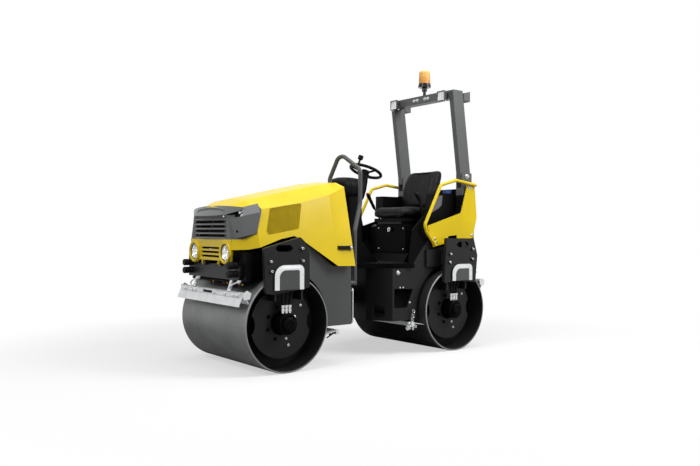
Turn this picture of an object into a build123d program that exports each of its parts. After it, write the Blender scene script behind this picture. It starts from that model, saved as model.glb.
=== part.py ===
"""Small articulated tandem roller with two smooth steel drums, a seat and a folding roll-over bar.

Millimetres. X runs forward, Y to the machine's left, Z up. The origin is on the ground below the
vertical pin of the articulated joint, midway between the two drum axles.
"""

import os
from math import atan2, cos, degrees, hypot, radians, sin, sqrt

from build123d import *

os.makedirs("parts", exist_ok=True)

# Driving dimensions of the machine
wheelbase = 1700
drum_diameter = 700
drum_width = 1000
half_base = wheelbase / 2
half_width = drum_width / 2
axle_height = drum_diameter / 2
cut_overrun = 200

# Running gaps
end_gap = 8
arch_gap = 0.05 * drum_diameter
pivot_gap = 0.3
seat_gap = 0.3
swing_gap = 8


def save(piece, name):
    """Label a finished piece and write it."""
    piece.part.label = name
    export_step(piece.part, f"parts/{name}.step")


def side_points(shares):
    """Outline points seen from the side: x in half wheelbases, z in drum diameters."""
    return [(half_base * x, drum_diameter * z) for x, z in shares]


def plan_points(shares):
    """Outline points seen from above: x in half wheelbases, y in half drum widths."""
    return [(half_base * x, half_width * y) for x, y in shares]


def front_points(shares):
    """Outline points seen from the front: y in half drum widths, z in drum diameters."""
    return [(half_width * y, drum_diameter * z) for y, z in shares]


def closed_face(plane, points, corner=0):
    """A closed outline on a plane, with its corners rounded if asked."""
    with BuildSketch(plane) as face:
        with BuildLine():
            if corner:
                FilletPolyline(*points, radius=corner, close=True)
            else:
                Polyline(*points, close=True)
        make_face()
    return face.sketch


def side_slab(points, low, high, corner=0, mode=Mode.ADD):
    """A plate between two Y places, with its outline seen from the side."""
    face = closed_face(Plane.XZ.offset(-low), points, corner)
    extrude(face, amount=high - low, dir=(0, 1, 0), mode=mode)


def plan_slab(points, low, high, corner=0, mode=Mode.ADD):
    """A plate between two heights, with its outline seen from above."""
    extrude(closed_face(Plane.XY.offset(low), points, corner), amount=high - low, mode=mode)


def front_slab(points, low, high, corner=0, mode=Mode.ADD):
    """A plate between two X places, with its outline seen from the front."""
    extrude(closed_face(Plane.YZ.offset(low), points, corner), amount=high - low, mode=mode)


def block(x_pair, y_pair, z_pair, mode=Mode.ADD):
    """A box between two places along each axis."""
    middle = [(low + high) / 2 for low, high in (x_pair, y_pair, z_pair)]
    spans = [high - low for low, high in (x_pair, y_pair, z_pair)]
    with Locations(tuple(middle)):
        Box(*spans, mode=mode)


def rod(start, end, radius, mode=Mode.ADD):
    """A round bar from one point to another."""
    start, end = Vector(*start), Vector(*end)
    with BuildSketch(Plane(origin=start, z_dir=end - start)) as disc:
        Circle(radius)
    extrude(disc.sketch, amount=(end - start).length, mode=mode)


def bent_tube(points, bend, radius, wall=0):
    """A tube that follows straight runs joined by bends."""
    with BuildLine() as path:
        FilletPolyline(*points, radius=bend)
    with BuildSketch(Plane(origin=path.line @ 0, z_dir=path.line % 0)) as ring:
        Circle(radius)
        if wall:
            Circle(radius - wall, mode=Mode.SUBTRACT)
    sweep(ring.sketch, path=path.line)


def arch(x_axle, radius, half_span, mode=Mode.SUBTRACT):
    """Round room for a drum, cut right across."""
    rod((x_axle, -half_span, axle_height), (x_axle, half_span, axle_height), radius, mode)


axles = (("front", half_base), ("rear", -half_base))

# Drums: a rolled shell on two end discs, with the vibration housing between them
shell_thickness = 15
disc_thickness = 12
disc_inset = 190
stub_radius = 40
hub_bore_radius = stub_radius + pivot_gap
hub_boss_radius = 70
hub_boss_length = 45
drum_radius = drum_diameter / 2
housing_radius = 0.3 * drum_radius
disc_face = half_width - disc_inset


def drum_profile():
    """Half of the drum's section, from its middle to its left end, as radius and Y."""
    inner = drum_radius - shell_thickness
    disc_back = disc_face - disc_thickness
    boss_back = disc_face - hub_boss_length
    return [
        (drum_radius, 0),
        (drum_radius, half_width),
        (inner, half_width),
        (inner, disc_face),
        (hub_bore_radius, disc_face),
        (hub_bore_radius, boss_back),
        (hub_boss_radius, boss_back),
        (hub_boss_radius, disc_back),
        (housing_radius, disc_back),
        (housing_radius, 0),
    ]


rim_chamfer = 4

for axle, x_axle in axles:
    with BuildPart() as drum:
        with BuildSketch(Plane(origin=(x_axle, 0, axle_height), x_dir=(1, 0, 0), z_dir=(0, 0, 1))):
            with BuildLine():
                Polyline(*drum_profile(), close=True)
            make_face()
        revolve(axis=Axis((x_axle, 0, axle_height), (0, 1, 0)))
        chamfer(drum.edges().filter_by(GeomType.CIRCLE).group_by(Axis.Y)[-1], rim_chamfer)
        mirror(about=Plane.XZ)
    save(drum, f"{axle}_drum")

# Legs: an outer plate beside each drum end, a web in through the open end and a round carrier plate
leg_thickness = 30
leg_face = half_width + end_gap
leg_outside = leg_face + leg_thickness
carrier_thickness = 20
carrier_depth = 110
carrier_radius = 0.729 * drum_radius
carrier_bite_radius = 0.286 * drum_radius
carrier_bite_reach = 0.914 * drum_radius
carrier_bore_radius = 88
web_wall = 16
web_half_width = 120
web_top = drum_diameter * 0.871
web_low = drum_diameter * 0.743
slot_half_height = 24
slot_half_length = 75
slot_flat_half = 51
leg_corner = 12
bolt_radius = 14
bolt_height = 10
carrier_face = half_width - carrier_depth

leg_shares = {
    "front": [
        (1.264, 1.277), (0.907, 1.389), (0.865, 1.347), (0.815, 1.219),
        (0.812, 0.873), (0.894, 0.854), (1.176, 0.817), (1.246, 0.83),
    ],
    "rear": [
        (-0.825, 1.373), (-1.212, 1.366), (-1.266, 1.16), (-1.238, 0.826),
        (-1.106, 0.843), (-0.941, 0.854), (-0.793, 0.836),
    ],
}
slot_place_shares = {"front": (1.068, 1.276), "rear": (-1.053, 1.293)}
leg_bolt_shares = {
    "front": [(0.894, 1.274), (0.888, 1.149), (1.201, 1.147), (1.194, 1.05)],
    "rear": [(-0.875, 1.18), (-0.866, 1.081), (-1.194, 1.236), (-1.185, 1.116)],
}

for axle, x_axle in axles:
    with BuildPart() as legs:
        side_slab(side_points(leg_shares[axle]), leg_face, leg_outside, leg_corner)
        slot_x, slot_z = side_points([slot_place_shares[axle]])[0]
        upper = [(-slot_half_length, 0), (-slot_flat_half, slot_half_height)]
        upper.append((slot_flat_half, slot_half_height))
        six_corners = upper + [(-x, -z) for x, z in upper]
        slot = [(slot_x + x, slot_z + z) for x, z in six_corners]
        side_slab(slot, leg_face, leg_outside, mode=Mode.SUBTRACT)
        x_pair = (x_axle - web_half_width, x_axle + web_half_width)
        block(x_pair, (carrier_face, leg_face), (web_top - web_wall, web_top))
        for edge in (-1, 1):
            x_edge = x_axle + edge * (web_half_width - web_wall / 2)
            half_wall = web_wall / 2
            block((x_edge - half_wall, x_edge + half_wall), (carrier_face, leg_face), (web_low, web_top))
        block(x_pair, (carrier_face, carrier_face + carrier_thickness), (axle_height, web_top))
        carrier_back = carrier_face + carrier_thickness
        rod((x_axle, carrier_face, axle_height), (x_axle, carrier_back, axle_height), carrier_radius)
        bites = [(x_axle, carrier_bore_radius)]
        bites += [(x_axle + step * carrier_bite_reach, carrier_bite_radius) for step in (-1, 1)]
        for x, radius in bites:
            rod((x, carrier_face, axle_height), (x, carrier_back, axle_height), radius, Mode.SUBTRACT)
        for bolt_x, bolt_z in side_points(leg_bolt_shares[axle]):
            rod((bolt_x, leg_outside, bolt_z), (bolt_x, leg_outside + bolt_height, bolt_z), bolt_radius)
        mirror(about=Plane.XZ)
    save(legs, f"{axle}_legs")

# Drives: a disc on six rubber buffers, with the hydraulic motor through the carrier plate
drive_disc_thickness = 15
drive_disc_radius = 0.557 * drum_radius
buffer_count = 6
buffer_radius = 30
buffer_circle = 0.457 * drum_radius
buffer_length = 45
motor_radius = 78
motor_length = 150
motor_cap_radius = 55
motor_cap_length = 22
stub_length = 40
fitting_radius = 11
fitting_height = 60
fitting_spacing = 30
drive_disc_high = carrier_face - buffer_length
drive_disc_low = drive_disc_high - drive_disc_thickness

for axle, x_axle in axles:
    with BuildPart() as drives:
        centre_at = lambda y: (x_axle, y, axle_height)
        rod(centre_at(drive_disc_low), centre_at(drive_disc_high), drive_disc_radius)
        motor_low = drive_disc_high
        motor_high = motor_low + motor_length
        rod(centre_at(motor_low), centre_at(motor_high), motor_radius)
        rod(centre_at(motor_high), centre_at(motor_high + motor_cap_length), motor_cap_radius)
        rod(centre_at(disc_face - stub_length), centre_at(drive_disc_low), stub_radius)
        for number in range(buffer_count):
            angle = radians(360 * number / buffer_count)
            x = x_axle + buffer_circle * cos(angle)
            z = axle_height + buffer_circle * sin(angle)
            rod((x, drive_disc_high, z), (x, carrier_face, z), buffer_radius)
        for step in (-1, 0, 1):
            x = x_axle + step * fitting_spacing
            y = motor_high - 2 * fitting_radius
            top = axle_height + motor_radius + fitting_height
            rod((x, y, axle_height), (x, y, top), fitting_radius)
        mirror(about=Plane.XZ)
    save(drives, f"{axle}_drives")

# Hose guards: pressed covers on the outer face of each leg
guard_depth = 17
guard_corner = 40
guard_wall = 3
guard_flange = 16
guard_recess = 6
guard_shares = {
    "front": [(0.88, 0.857), (0.88, 1.109), (1.169, 1.109), (1.169, 0.857)],
    "rear": [(-1.176, 0.857), (-1.176, 1.057), (-0.894, 1.057), (-0.894, 0.857)],
}
for axle, x_axle in axles:
    points = side_points(guard_shares[axle])
    with BuildPart() as guards:
        for side in (1, -1):
            low_y = side * leg_outside
            high_y = side * (leg_outside + guard_depth)
            pair = (min(low_y, high_y), max(low_y, high_y))
            side_slab(points, pair[0], pair[1], guard_corner)
            panel_face = side * (leg_outside + guard_depth - guard_recess)
            cavity_end = panel_face - side * guard_wall
            x_low = min(point[0] for point in points) + guard_flange
            x_high = max(point[0] for point in points) - guard_flange
            z_high = max(point[1] for point in points) - guard_flange
            z_low = min(point[1] for point in points) - cut_overrun
            inner = [(x_low, z_low), (x_low, z_high), (x_high, z_high), (x_high, z_low)]
            inner_corner = guard_corner - guard_flange
            side_slab(inner, min(low_y, cavity_end), max(low_y, cavity_end), inner_corner, Mode.SUBTRACT)
            z_low = min(point[1] for point in points) + guard_flange
            inner = [(x_low, z_low), (x_low, z_high), (x_high, z_high), (x_high, z_low)]
            side_slab(inner, min(high_y, panel_face), max(high_y, panel_face), inner_corner, Mode.SUBTRACT)
    save(guards, f"{axle}_hose_guards")

# Front frame: deck over the drum, beams to the legs, grey side plates and the fork of the joint
plate_thickness = 12
front_half_width = half_width * 0.872
deck_height = drum_diameter + arch_gap
front_frame_top = drum_diameter * 1.0714
deck_front = half_base * 1.3706
bulkhead_x = half_base * 0.2824
frame_low = drum_diameter * 0.4286
beam_height = 132
side_beam_low = drum_diameter * 1.007
side_beam_high = drum_diameter * 1.2
corner_x = half_base * 1.324
corner_inside = half_width * 0.69
corner_outside = half_width * 0.9
corner_low = drum_diameter * 0.95
corner_high = drum_diameter * 1.231
beam_width = 60
fork_half_width = 55
fork_gap = 160
fork_plate = 22
joint_rise = 130
joint_height = axle_height + joint_rise
arch_radius = drum_radius + arch_gap
lug_pin_radius = 12
cylinder_pin_x = 160
cylinder_pin_y = -120
eye_height = 64
lug_height = joint_height - eye_height / 2 - pivot_gap
lug_thickness = 15
lug_radius = 34
pin_radius = 28

with BuildPart() as front_frame:
    across = (-front_half_width, front_half_width)
    block((bulkhead_x, deck_front), across, (deck_height, deck_height + plate_thickness))
    block((bulkhead_x, bulkhead_x + plate_thickness), across, (frame_low, front_frame_top))
    block((bulkhead_x, half_base), across, (frame_low, frame_low + plate_thickness))
    for side in (1, -1):
        beam_low = side * front_half_width
        beam_high = side * (front_half_width - beam_width)
        y_pair = (min(beam_low, beam_high), max(beam_low, beam_high))
        block((half_base - drum_radius, deck_front), y_pair, (side_beam_low, side_beam_high))
        y_pair = sorted((side * corner_inside, side * corner_outside))
        block((corner_x, deck_front), y_pair, (corner_low, corner_high))
    arch(half_base, arch_radius, half_width + cut_overrun)
    for side in (1, -1):
        leg_pair = sorted((side * front_half_width, side * leg_face))
        x_pair = (half_base - web_half_width, half_base + web_half_width)
        block(x_pair, leg_pair, (deck_height, deck_height + beam_height))
    for z_low in (joint_height - fork_gap / 2 - fork_plate, joint_height + fork_gap / 2):
        block((0, bulkhead_x), (-fork_half_width, fork_half_width), (z_low, z_low + fork_plate))
        rod((0, 0, z_low), (0, 0, z_low + fork_plate), fork_half_width)
    rod((0, 0, frame_low), (0, 0, front_frame_top), pin_radius + pivot_gap, Mode.SUBTRACT)
    lug_pair = (lug_height - lug_thickness, lug_height)
    y_pair = (cylinder_pin_y - lug_radius, cylinder_pin_y + lug_radius)
    block((cylinder_pin_x, bulkhead_x), y_pair, lug_pair)
    lug_centre = (cylinder_pin_x, cylinder_pin_y)
    rod((*lug_centre, lug_pair[0]), (*lug_centre, lug_pair[1]), lug_radius)
    rod((*lug_centre, lug_pair[1]), (*lug_centre, joint_height + lug_radius), lug_pin_radius)
save(front_frame, "front_frame")

# Grey side plates of the front frame
side_plate_thickness = 10
front_side_shares = [
    (0.278, 0.429), (0.286, 1.067), (0.486, 1.074), (0.812, 1.357), (0.812, 1.0), (0.812, 0.429),
]
with BuildPart() as side_plates:
    side_slab(side_points(front_side_shares), front_half_width, front_half_width + side_plate_thickness)
    arch(half_base, arch_radius, half_width + cut_overrun)
    mirror(about=Plane.XZ)
save(side_plates, "front_side_plates")

# Front cross plate with the four rubber bumpers that stand out in front
front_plate_x = deck_front
front_plate_thickness = 20
front_plate_shares = [
    (-0.744, 0.954), (-0.796, 1.0), (-0.796, 1.103),
    (0.796, 1.103), (0.796, 1.0), (0.744, 0.954),
]
plate_low = drum_diameter * 0.954
bumper_radius = 24
bumper_length = 73
bumper_shares = [(0.698, 1.103), (0.698, 1.017), (-0.698, 1.103), (-0.698, 1.017)]

hood_hinge_reach = 30
hood_hinge_x = front_plate_x + hood_hinge_reach
hood_hinge_z = drum_diameter * 1.1071
hood_pin_radius = 8
knuckle_radius = 14
knuckle_inside = half_width * 0.17
knuckle_width = 36
hood_lug_width = 12
hinge_gap = 4

with BuildPart() as front_plate:
    front_slab(front_points(front_plate_shares), front_plate_x, front_plate_x + front_plate_thickness)
    for side in (1, -1):
        pair = sorted((side * knuckle_inside, side * (knuckle_inside + knuckle_width)))
        z_pair = (hood_hinge_z - knuckle_radius, hood_hinge_z + knuckle_radius)
        block((front_plate_x, hood_hinge_x), pair, z_pair)
        rod((hood_hinge_x, pair[0], hood_hinge_z), (hood_hinge_x, pair[1], hood_hinge_z), knuckle_radius)
        pin_end = side * (knuckle_inside + knuckle_width + 2 * hood_lug_width)
        notch = sorted((side * (knuckle_inside + knuckle_width), pin_end))
        notch_low = hood_hinge_z - knuckle_radius - hinge_gap
        block((front_plate_x, hood_hinge_x), notch, (notch_low, hood_hinge_z + knuckle_radius), Mode.SUBTRACT)
        pin_start = side * knuckle_inside
        rod((hood_hinge_x, pin_start, hood_hinge_z), (hood_hinge_x, pin_end, hood_hinge_z), hood_pin_radius)
save(front_plate, "front_cross_plate")

with BuildPart() as bumpers:
    plate_face = front_plate_x + front_plate_thickness
    for y, z in front_points(bumper_shares):
        rod((plate_face, y, z), (plate_face + bumper_length, y, z), bumper_radius)
save(bumpers, "front_bumpers")

# Engine, hidden in the hood
engine_size = (560, 460, 360)
engine_x = half_base * 0.824
with BuildPart() as engine:
    with Locations((engine_x, 0, deck_height + plate_thickness)):
        Box(*engine_size, align=(Align.CENTER, Align.CENTER, Align.MIN))
save(engine, "engine_block")

# Firewall behind the hood, on the front frame
firewall_x = half_base * 0.2494
firewall_thickness = 20
firewall_shares = [(-0.8, 1.071), (-0.72, 1.643), (-0.56, 1.871), (0.56, 1.871), (0.72, 1.643), (0.8, 1.071)]
with BuildPart() as firewall:
    front_slab(front_points(firewall_shares), firewall_x, firewall_x + firewall_thickness)
    floor_pair = (front_frame_top, front_frame_top + plate_thickness)
    block((firewall_x, bulkhead_x + plate_thickness), (-half_width * 0.8, half_width * 0.8), floor_pair)
save(firewall, "firewall")

# Grab rail, a bent tube on the left of the front frame's rear wall
tube_radius = 17
rail_bend = 60
rail_gap = 4
rail_points = [
    (firewall_x - tube_radius - rail_gap, half_width * 0.85, drum_diameter * 0.857),
    (firewall_x - tube_radius - rail_gap, half_width * 0.85, drum_diameter * 1.457),
    (half_base * 0.132, half_width * 0.784, drum_diameter * 1.757),
    (half_base * 0.132, half_width * 0.784, drum_diameter * 2.143),
    (half_base * 0.198, half_width * 0.4, drum_diameter * 2.343),
    (firewall_x - tube_radius - rail_gap, half_width * 0.19, drum_diameter * 2.057),
    (firewall_x - tube_radius - rail_gap, half_width * 0.19, drum_diameter * 1.771),
]
with BuildPart() as grab_rail:
    bent_tube(rail_points, rail_bend, tube_radius)
    for x, y, z in (rail_points[0], rail_points[-1]):
        foot_z = z + tube_radius
        rod((x, y, foot_z), (bulkhead_x if z < front_frame_top else firewall_x, y, foot_z), tube_radius)
save(grab_rail, "grab_rail")

# Lock bar, pinned upright at the front frame's rear edge
lock_bar_length = 270
lock_bar_radius = 17
lock_bar_thickness = 8
lock_bar_y = front_half_width
lock_bar_lift = 5
lock_bar_low = frame_low + lock_bar_lift
lock_bar_standoff = 30
lock_pin_radius = 8
lock_bar_x = bulkhead_x - lock_bar_standoff
with BuildPart() as lock_bar:
    with BuildSketch(Plane.YZ.offset(lock_bar_x)) as bar:
        with Locations((lock_bar_y - lock_bar_radius, lock_bar_low + lock_bar_length / 2)):
            SlotOverall(lock_bar_length, 2 * lock_bar_radius, rotation=90)
    extrude(bar.sketch, amount=lock_bar_thickness)
    for z in (lock_bar_low + lock_bar_radius, lock_bar_low + lock_bar_length - lock_bar_radius):
        y = lock_bar_y - lock_bar_radius
        rod((lock_bar_x - lock_bar_thickness, y, z), (bulkhead_x, y, z), lock_pin_radius)
save(lock_bar, "lock_bar")

# Joint block: vertical pin in the front fork, lengthwise shaft in the rear bearing
block_half = 55
block_gap = 5
bearing_shaft_radius = 45
shaft_end_x = -250
flange_x = -75
arm_height = lug_height
arm_thickness = 18
arm_half_width = 28
barrel_pin_x = -170
barrel_pin_y = -150
with BuildPart() as joint_block:
    z_pair = (joint_height - fork_gap / 2 + block_gap, joint_height + fork_gap / 2 - block_gap)
    block((flange_x, 0), (-block_half, block_half), z_pair)
    rod((0, 0, z_pair[0]), (0, 0, z_pair[1]), block_half)
    rod((0, 0, z_pair[0] - block_gap - fork_plate), (0, 0, z_pair[1] + block_gap + fork_plate), pin_radius)
    rod((shaft_end_x, 0, joint_height), (flange_x, 0, joint_height), bearing_shaft_radius)
    arm_pair = (arm_height - arm_thickness, arm_height)
    block((flange_x, flange_x + 2 * arm_half_width), (barrel_pin_y - arm_half_width, -block_half), arm_pair)
    arm_y = (barrel_pin_y - arm_half_width, barrel_pin_y + arm_half_width)
    block((barrel_pin_x, flange_x + arm_half_width), arm_y, arm_pair)
    arm_centre = (barrel_pin_x, barrel_pin_y)
    rod((*arm_centre, arm_pair[0]), (*arm_centre, arm_pair[1]), arm_half_width)
    rod((*arm_centre, arm_pair[1]), (*arm_centre, joint_height + lug_radius), lug_pin_radius)
save(joint_block, "joint_block")

# Steering cylinder: barrel pinned to the joint block's arm, rod to the front frame's lug
barrel_radius = 27
rod_radius = 14
eye_radius = 26
open_eye_radius = 38
open_eye_bore = 25
barrel_length = 198
barrel_floor = 6
rod_inside = 94
cylinder_reach = hypot(cylinder_pin_x - barrel_pin_x, cylinder_pin_y - barrel_pin_y)
cylinder_angle = degrees(atan2(cylinder_pin_y - barrel_pin_y, cylinder_pin_x - barrel_pin_x))
cylinder_plane = Plane(Location((barrel_pin_x, barrel_pin_y, joint_height), (0, 0, cylinder_angle)))


def on_cylinder(reach, height=0):
    """A point along the cylinder's line, from the barrel's pin."""
    return tuple(cylinder_plane.from_local_coords((reach, 0, height)))


with BuildPart() as barrel:
    rod(on_cylinder(0, -eye_height / 2), on_cylinder(0, eye_height / 2), eye_radius)
    rod(on_cylinder(eye_radius / 2), on_cylinder(barrel_length), barrel_radius)
    rod(on_cylinder(0, -eye_height), on_cylinder(0, eye_height), lug_pin_radius + pivot_gap, Mode.SUBTRACT)
    bore_start = eye_radius + barrel_floor
    rod(on_cylinder(bore_start), on_cylinder(barrel_length), rod_radius + pivot_gap, Mode.SUBTRACT)
save(barrel, "steering_barrel")

with BuildPart() as piston_rod:
    eye_low = on_cylinder(cylinder_reach, -eye_height / 2)
    eye_high = on_cylinder(cylinder_reach, eye_height / 2)
    rod(eye_low, eye_high, open_eye_radius)
    rod(on_cylinder(barrel_length - rod_inside), on_cylinder(cylinder_reach - open_eye_radius / 2), rod_radius)
    rod(eye_low, eye_high, open_eye_bore, Mode.SUBTRACT)
save(piston_rod, "steering_rod")

# Hood: lofted outer form, hollow, cut below to the side line, with two mesh windows
hood_wall = 5
hood_base = drum_diameter * 0.929
# Columns: x, half width at the base, half width and height of the shoulder, then of the crease, top height
hood_sections = [
    (1.426, 0.776, 0.536, 1.6, 0.39, 1.674, 1.7),
    (1.247, 1.02, 0.796, 1.664, 0.47, 1.769, 1.794),
    (0.824, 1.06, 0.81, 1.746, 0.48, 1.88, 1.906),
    (0.494, 1.064, 0.8, 1.843, 0.49, 1.963, 1.989),
    (0.289, 1.06, 0.714, 1.943, 0.5, 1.997, 2.017),
]
hood_line_shares = [
    (1.452, 1.257), (1.322, 1.263), (1.238, 1.287), (1.035, 1.37), (0.905, 1.4),
    (0.844, 1.369), (0.486, 1.079), (0.235, 1.071),
]


def across_slab(points, corner=0, mode=Mode.SUBTRACT):
    """A side outline carried right across the machine and beyond, to cut with or to keep from."""
    side_slab(points, -half_width - cut_overrun, half_width + cut_overrun, corner, mode)


def hood_section(row, inset):
    """One closed section across the hood, drawn in by the inset on every side."""
    x, base_y, shoulder_y, shoulder_z, crease_y, crease_z, top_z = row
    half = [
        (half_width * base_y - inset, hood_base),
        (half_width * shoulder_y - inset, drum_diameter * shoulder_z - inset / 2),
        (half_width * crease_y - inset / 2, drum_diameter * crease_z - inset),
    ]
    points = half + [(0, drum_diameter * top_z - inset)] + [(-y, z) for y, z in reversed(half)]
    return closed_face(Plane.YZ.offset(half_base * x), points)


def hood_form(inset, front_inset):
    """The hood's solid form, drawn in by the inset."""
    rows = [list(row) for row in hood_sections]
    rows[0][0] -= front_inset / half_base
    loft([hood_section(row, inset) for row in rows], ruled=True)


def below_line(mode=Mode.SUBTRACT, drop=0):
    """Everything under the hood's lower edge."""
    points = side_points(hood_line_shares)
    points = [(x, z - drop) for x, z in points]
    ahead = (points[0][0] + cut_overrun, points[0][1])
    behind = (points[-1][0] - cut_overrun, points[-1][1])
    points = [ahead] + points + [behind]
    low = [(points[-1][0], 0), (points[0][0], 0)]
    across_slab(points + low, 0, mode)


window_shares = [(1.114, 1.68), (0.796, 1.746), (0.853, 1.473), (1.153, 1.41), (1.167, 1.451)]
window_corner = 14
cap_line_shares = [
    (1.18, 1.857), (1.18, 1.75), (1.2, 1.629), (1.276, 1.364), (1.529, 1.364), (1.529, 1.857),
]
nose_thickness = 14
nose_shares = [(-0.636, 1.369), (-0.636, 1.143), (0.636, 1.143), (0.636, 1.369)]
lamp_shares = [(0.486, 1.227), (-0.486, 1.227)]
lamp_ring_radius = 80
lamp_hole_radius = 62
nose_x = half_base * hood_sections[0][0]
nose_slot_count = 3
nose_slot_height = 16
nose_slot_pitch = 30
nose_slot_half = half_width * 0.28
nose_slot_low = drum_diameter * 1.174
cap_slot_count = 4
cap_slot_height = 17
cap_slot_pitch = 33
cap_slot_half = half_width * 0.45
cap_slot_low = drum_diameter * 1.389


def slots(count, low, pitch, height, half_span):
    """A row of level slots through the front of the hood."""
    for number in range(count):
        z = low + pitch * number
        x_pair = (nose_x - 2 * nose_thickness, nose_x + cut_overrun)
        block(x_pair, (-half_span, half_span), (z, z + height), Mode.SUBTRACT)


def nose_form(depth):
    """The lamp board across the front, with a round lobe at each lamp."""
    front_slab(front_points(nose_shares), nose_x - depth, nose_x)
    for y, z in front_points(lamp_shares):
        rod((nose_x - depth, y, z), (nose_x, y, z), lamp_ring_radius)


with BuildPart() as hood:
    hood_form(0, 0)
    with BuildPart(mode=Mode.PRIVATE) as hollow:
        hood_form(hood_wall, nose_thickness)
    add(hollow.part, mode=Mode.SUBTRACT)
    across_slab(side_points(window_shares), window_corner)
    below_line()
    nose_form(nose_thickness)
    across_slab(side_points(cap_line_shares))
    for y, z in front_points(lamp_shares):
        rod((nose_x - cut_overrun, y, z), (nose_x + cut_overrun, y, z), lamp_hole_radius, Mode.SUBTRACT)
    slots(nose_slot_count, nose_slot_low, nose_slot_pitch, nose_slot_height, nose_slot_half)
    for side in (1, -1):
        lug_low = knuckle_inside + knuckle_width + pivot_gap
        pair = sorted((side * lug_low, side * (lug_low + hood_lug_width)))
        rod((hood_hinge_x, pair[0], hood_hinge_z), (hood_hinge_x, pair[1], hood_hinge_z), knuckle_radius)
        lug_depth = (nose_x - nose_thickness - hood_pin_radius, nose_x)
        block(lug_depth, pair, (hood_hinge_z, nose_slot_low - nose_thickness / 2))
        hinge_ends = [(hood_hinge_x, end * half_width, hood_hinge_z) for end in (-1, 1)]
        rod(*hinge_ends, hood_pin_radius + pivot_gap, Mode.SUBTRACT)
save(hood, "hood")

with BuildPart() as cap:
    hood_form(0, 0)
    with BuildPart(mode=Mode.PRIVATE) as hollow:
        hood_form(hood_wall, nose_thickness)
    add(hollow.part, mode=Mode.SUBTRACT)
    across_slab(side_points(cap_line_shares), 0, Mode.INTERSECT)
    slots(cap_slot_count, cap_slot_low, cap_slot_pitch, cap_slot_height, cap_slot_half)
save(cap, "grille_cap")

mesh_thickness = 2
with BuildPart() as mesh:
    hood_form(mesh_thickness, 0)
    with BuildPart(mode=Mode.PRIVATE) as hollow:
        hood_form(hood_wall, 0)
    add(hollow.part, mode=Mode.SUBTRACT)
    across_slab(side_points(window_shares), window_corner, Mode.INTERSECT)
save(mesh, "hood_mesh")

lamp_depth = 30
with BuildPart() as headlamps:
    for y, z in front_points(lamp_shares):
        rod((nose_x - lamp_depth, y, z), (nose_x - nose_thickness / 2, y, z), lamp_hole_radius)
save(headlamps, "headlamps")

# Rubber straps that hold the hood down at the rear
strap_shares = [(0.465, 1.254), (0.465, 1.293), (0.308, 1.293), (0.308, 1.254)]
strap_low = half_width * 0.91
strap_high = half_width * 0.984
with BuildPart() as straps:
    for side in (1, -1):
        pair = sorted((side * strap_low, side * strap_high))
        side_slab(side_points(strap_shares), pair[0], pair[1])
    with BuildPart(mode=Mode.PRIVATE) as filled:
        hood_form(0, 0)
    add(filled.part, mode=Mode.SUBTRACT)
save(straps, "hood_straps")

# Scrapers: a blade and bar hung on two arms in front of each drum, and one behind
blade_thickness = 6
blade_height = 95
blade_gap = 3
blade_half = half_width * 0.98
blade_angle = 27
blade_lean = 35
blade_slot_count = 9
blade_slot_width = 60
blade_slot_height = 12
bar_depth = 22
bar_height = 30
arm_width = 30
arm_half_thickness = 8
scraper_arm_y = half_width * 0.54


def scraper(x_axle, facing, anchor_x, anchor_z):
    """A slotted blade that leans on the drum above the axle, with its bar and two arms."""
    turn = radians(blade_angle)
    foot_x = x_axle + facing * (drum_radius + blade_gap) * cos(turn)
    foot_z = axle_height + (drum_radius + blade_gap) * sin(turn)
    lean_x = facing * blade_height * cos(radians(blade_angle + blade_lean))
    lean_z = blade_height * sin(radians(blade_angle + blade_lean))
    thick = facing * blade_thickness
    top_x = foot_x + lean_x
    top_z = foot_z + lean_z
    blade = [(foot_x, foot_z), (foot_x + thick, foot_z), (top_x + thick, top_z), (top_x, top_z)]
    side_slab(blade, -blade_half, blade_half)
    slot_pitch = 2 * blade_half / blade_slot_count
    slot_z = top_z - 2 * blade_slot_height
    for number in range(blade_slot_count):
        y = slot_pitch * (number + 0.5) - blade_half
        slot_pair = (y - blade_slot_width / 2, y + blade_slot_width / 2)
        x_pair = sorted((foot_x, top_x + facing * bar_depth))
        block(x_pair, slot_pair, (slot_z, slot_z + blade_slot_height), Mode.SUBTRACT)
    bar_x = foot_x + lean_x / 2 + thick
    bar_z = foot_z + lean_z / 2
    x_pair = sorted((bar_x - facing * blade_thickness, bar_x + facing * bar_depth))
    block(x_pair, (-blade_half, blade_half), (bar_z, bar_z + bar_height))
    for y in (scraper_arm_y, -scraper_arm_y):
        top = bar_z + bar_height
        x_mid = bar_x + facing * bar_depth / 2
        points = [
            (x_mid - arm_half_thickness, bar_z), (x_mid + arm_half_thickness, bar_z),
            (x_mid + arm_half_thickness, top), (anchor_x + arm_half_thickness, anchor_z),
            (anchor_x - arm_half_thickness, anchor_z), (x_mid - arm_half_thickness, top),
        ]
        side_slab(points, y - arm_width / 2, y + arm_width / 2)


with BuildPart() as front_scraper:
    scraper(half_base, 1, front_plate_x + front_plate_thickness / 2, plate_low)
save(front_scraper, "front_scraper")

# Rear frame: side plates, the angled front wall, the bearing of the joint and the deck
rear_half_width = half_width * 0.84
wall_corner_x = half_base * -0.241
wall_front_x = half_base * -0.124
wall_front_half = half_width * 0.4
rear_low = drum_diameter * 0.407
rear_deck_top = front_frame_top
platform_thickness = 37
platform_top = front_frame_top
platform_low = platform_top - platform_thickness
bearing_radius = 75
bearing_length = 140
wall_opening_y = (half_width * -0.42, half_width * -0.156)
wall_opening_rise = 90
rear_deck_x = (half_base * -1.3529, half_base * -0.665)

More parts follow.
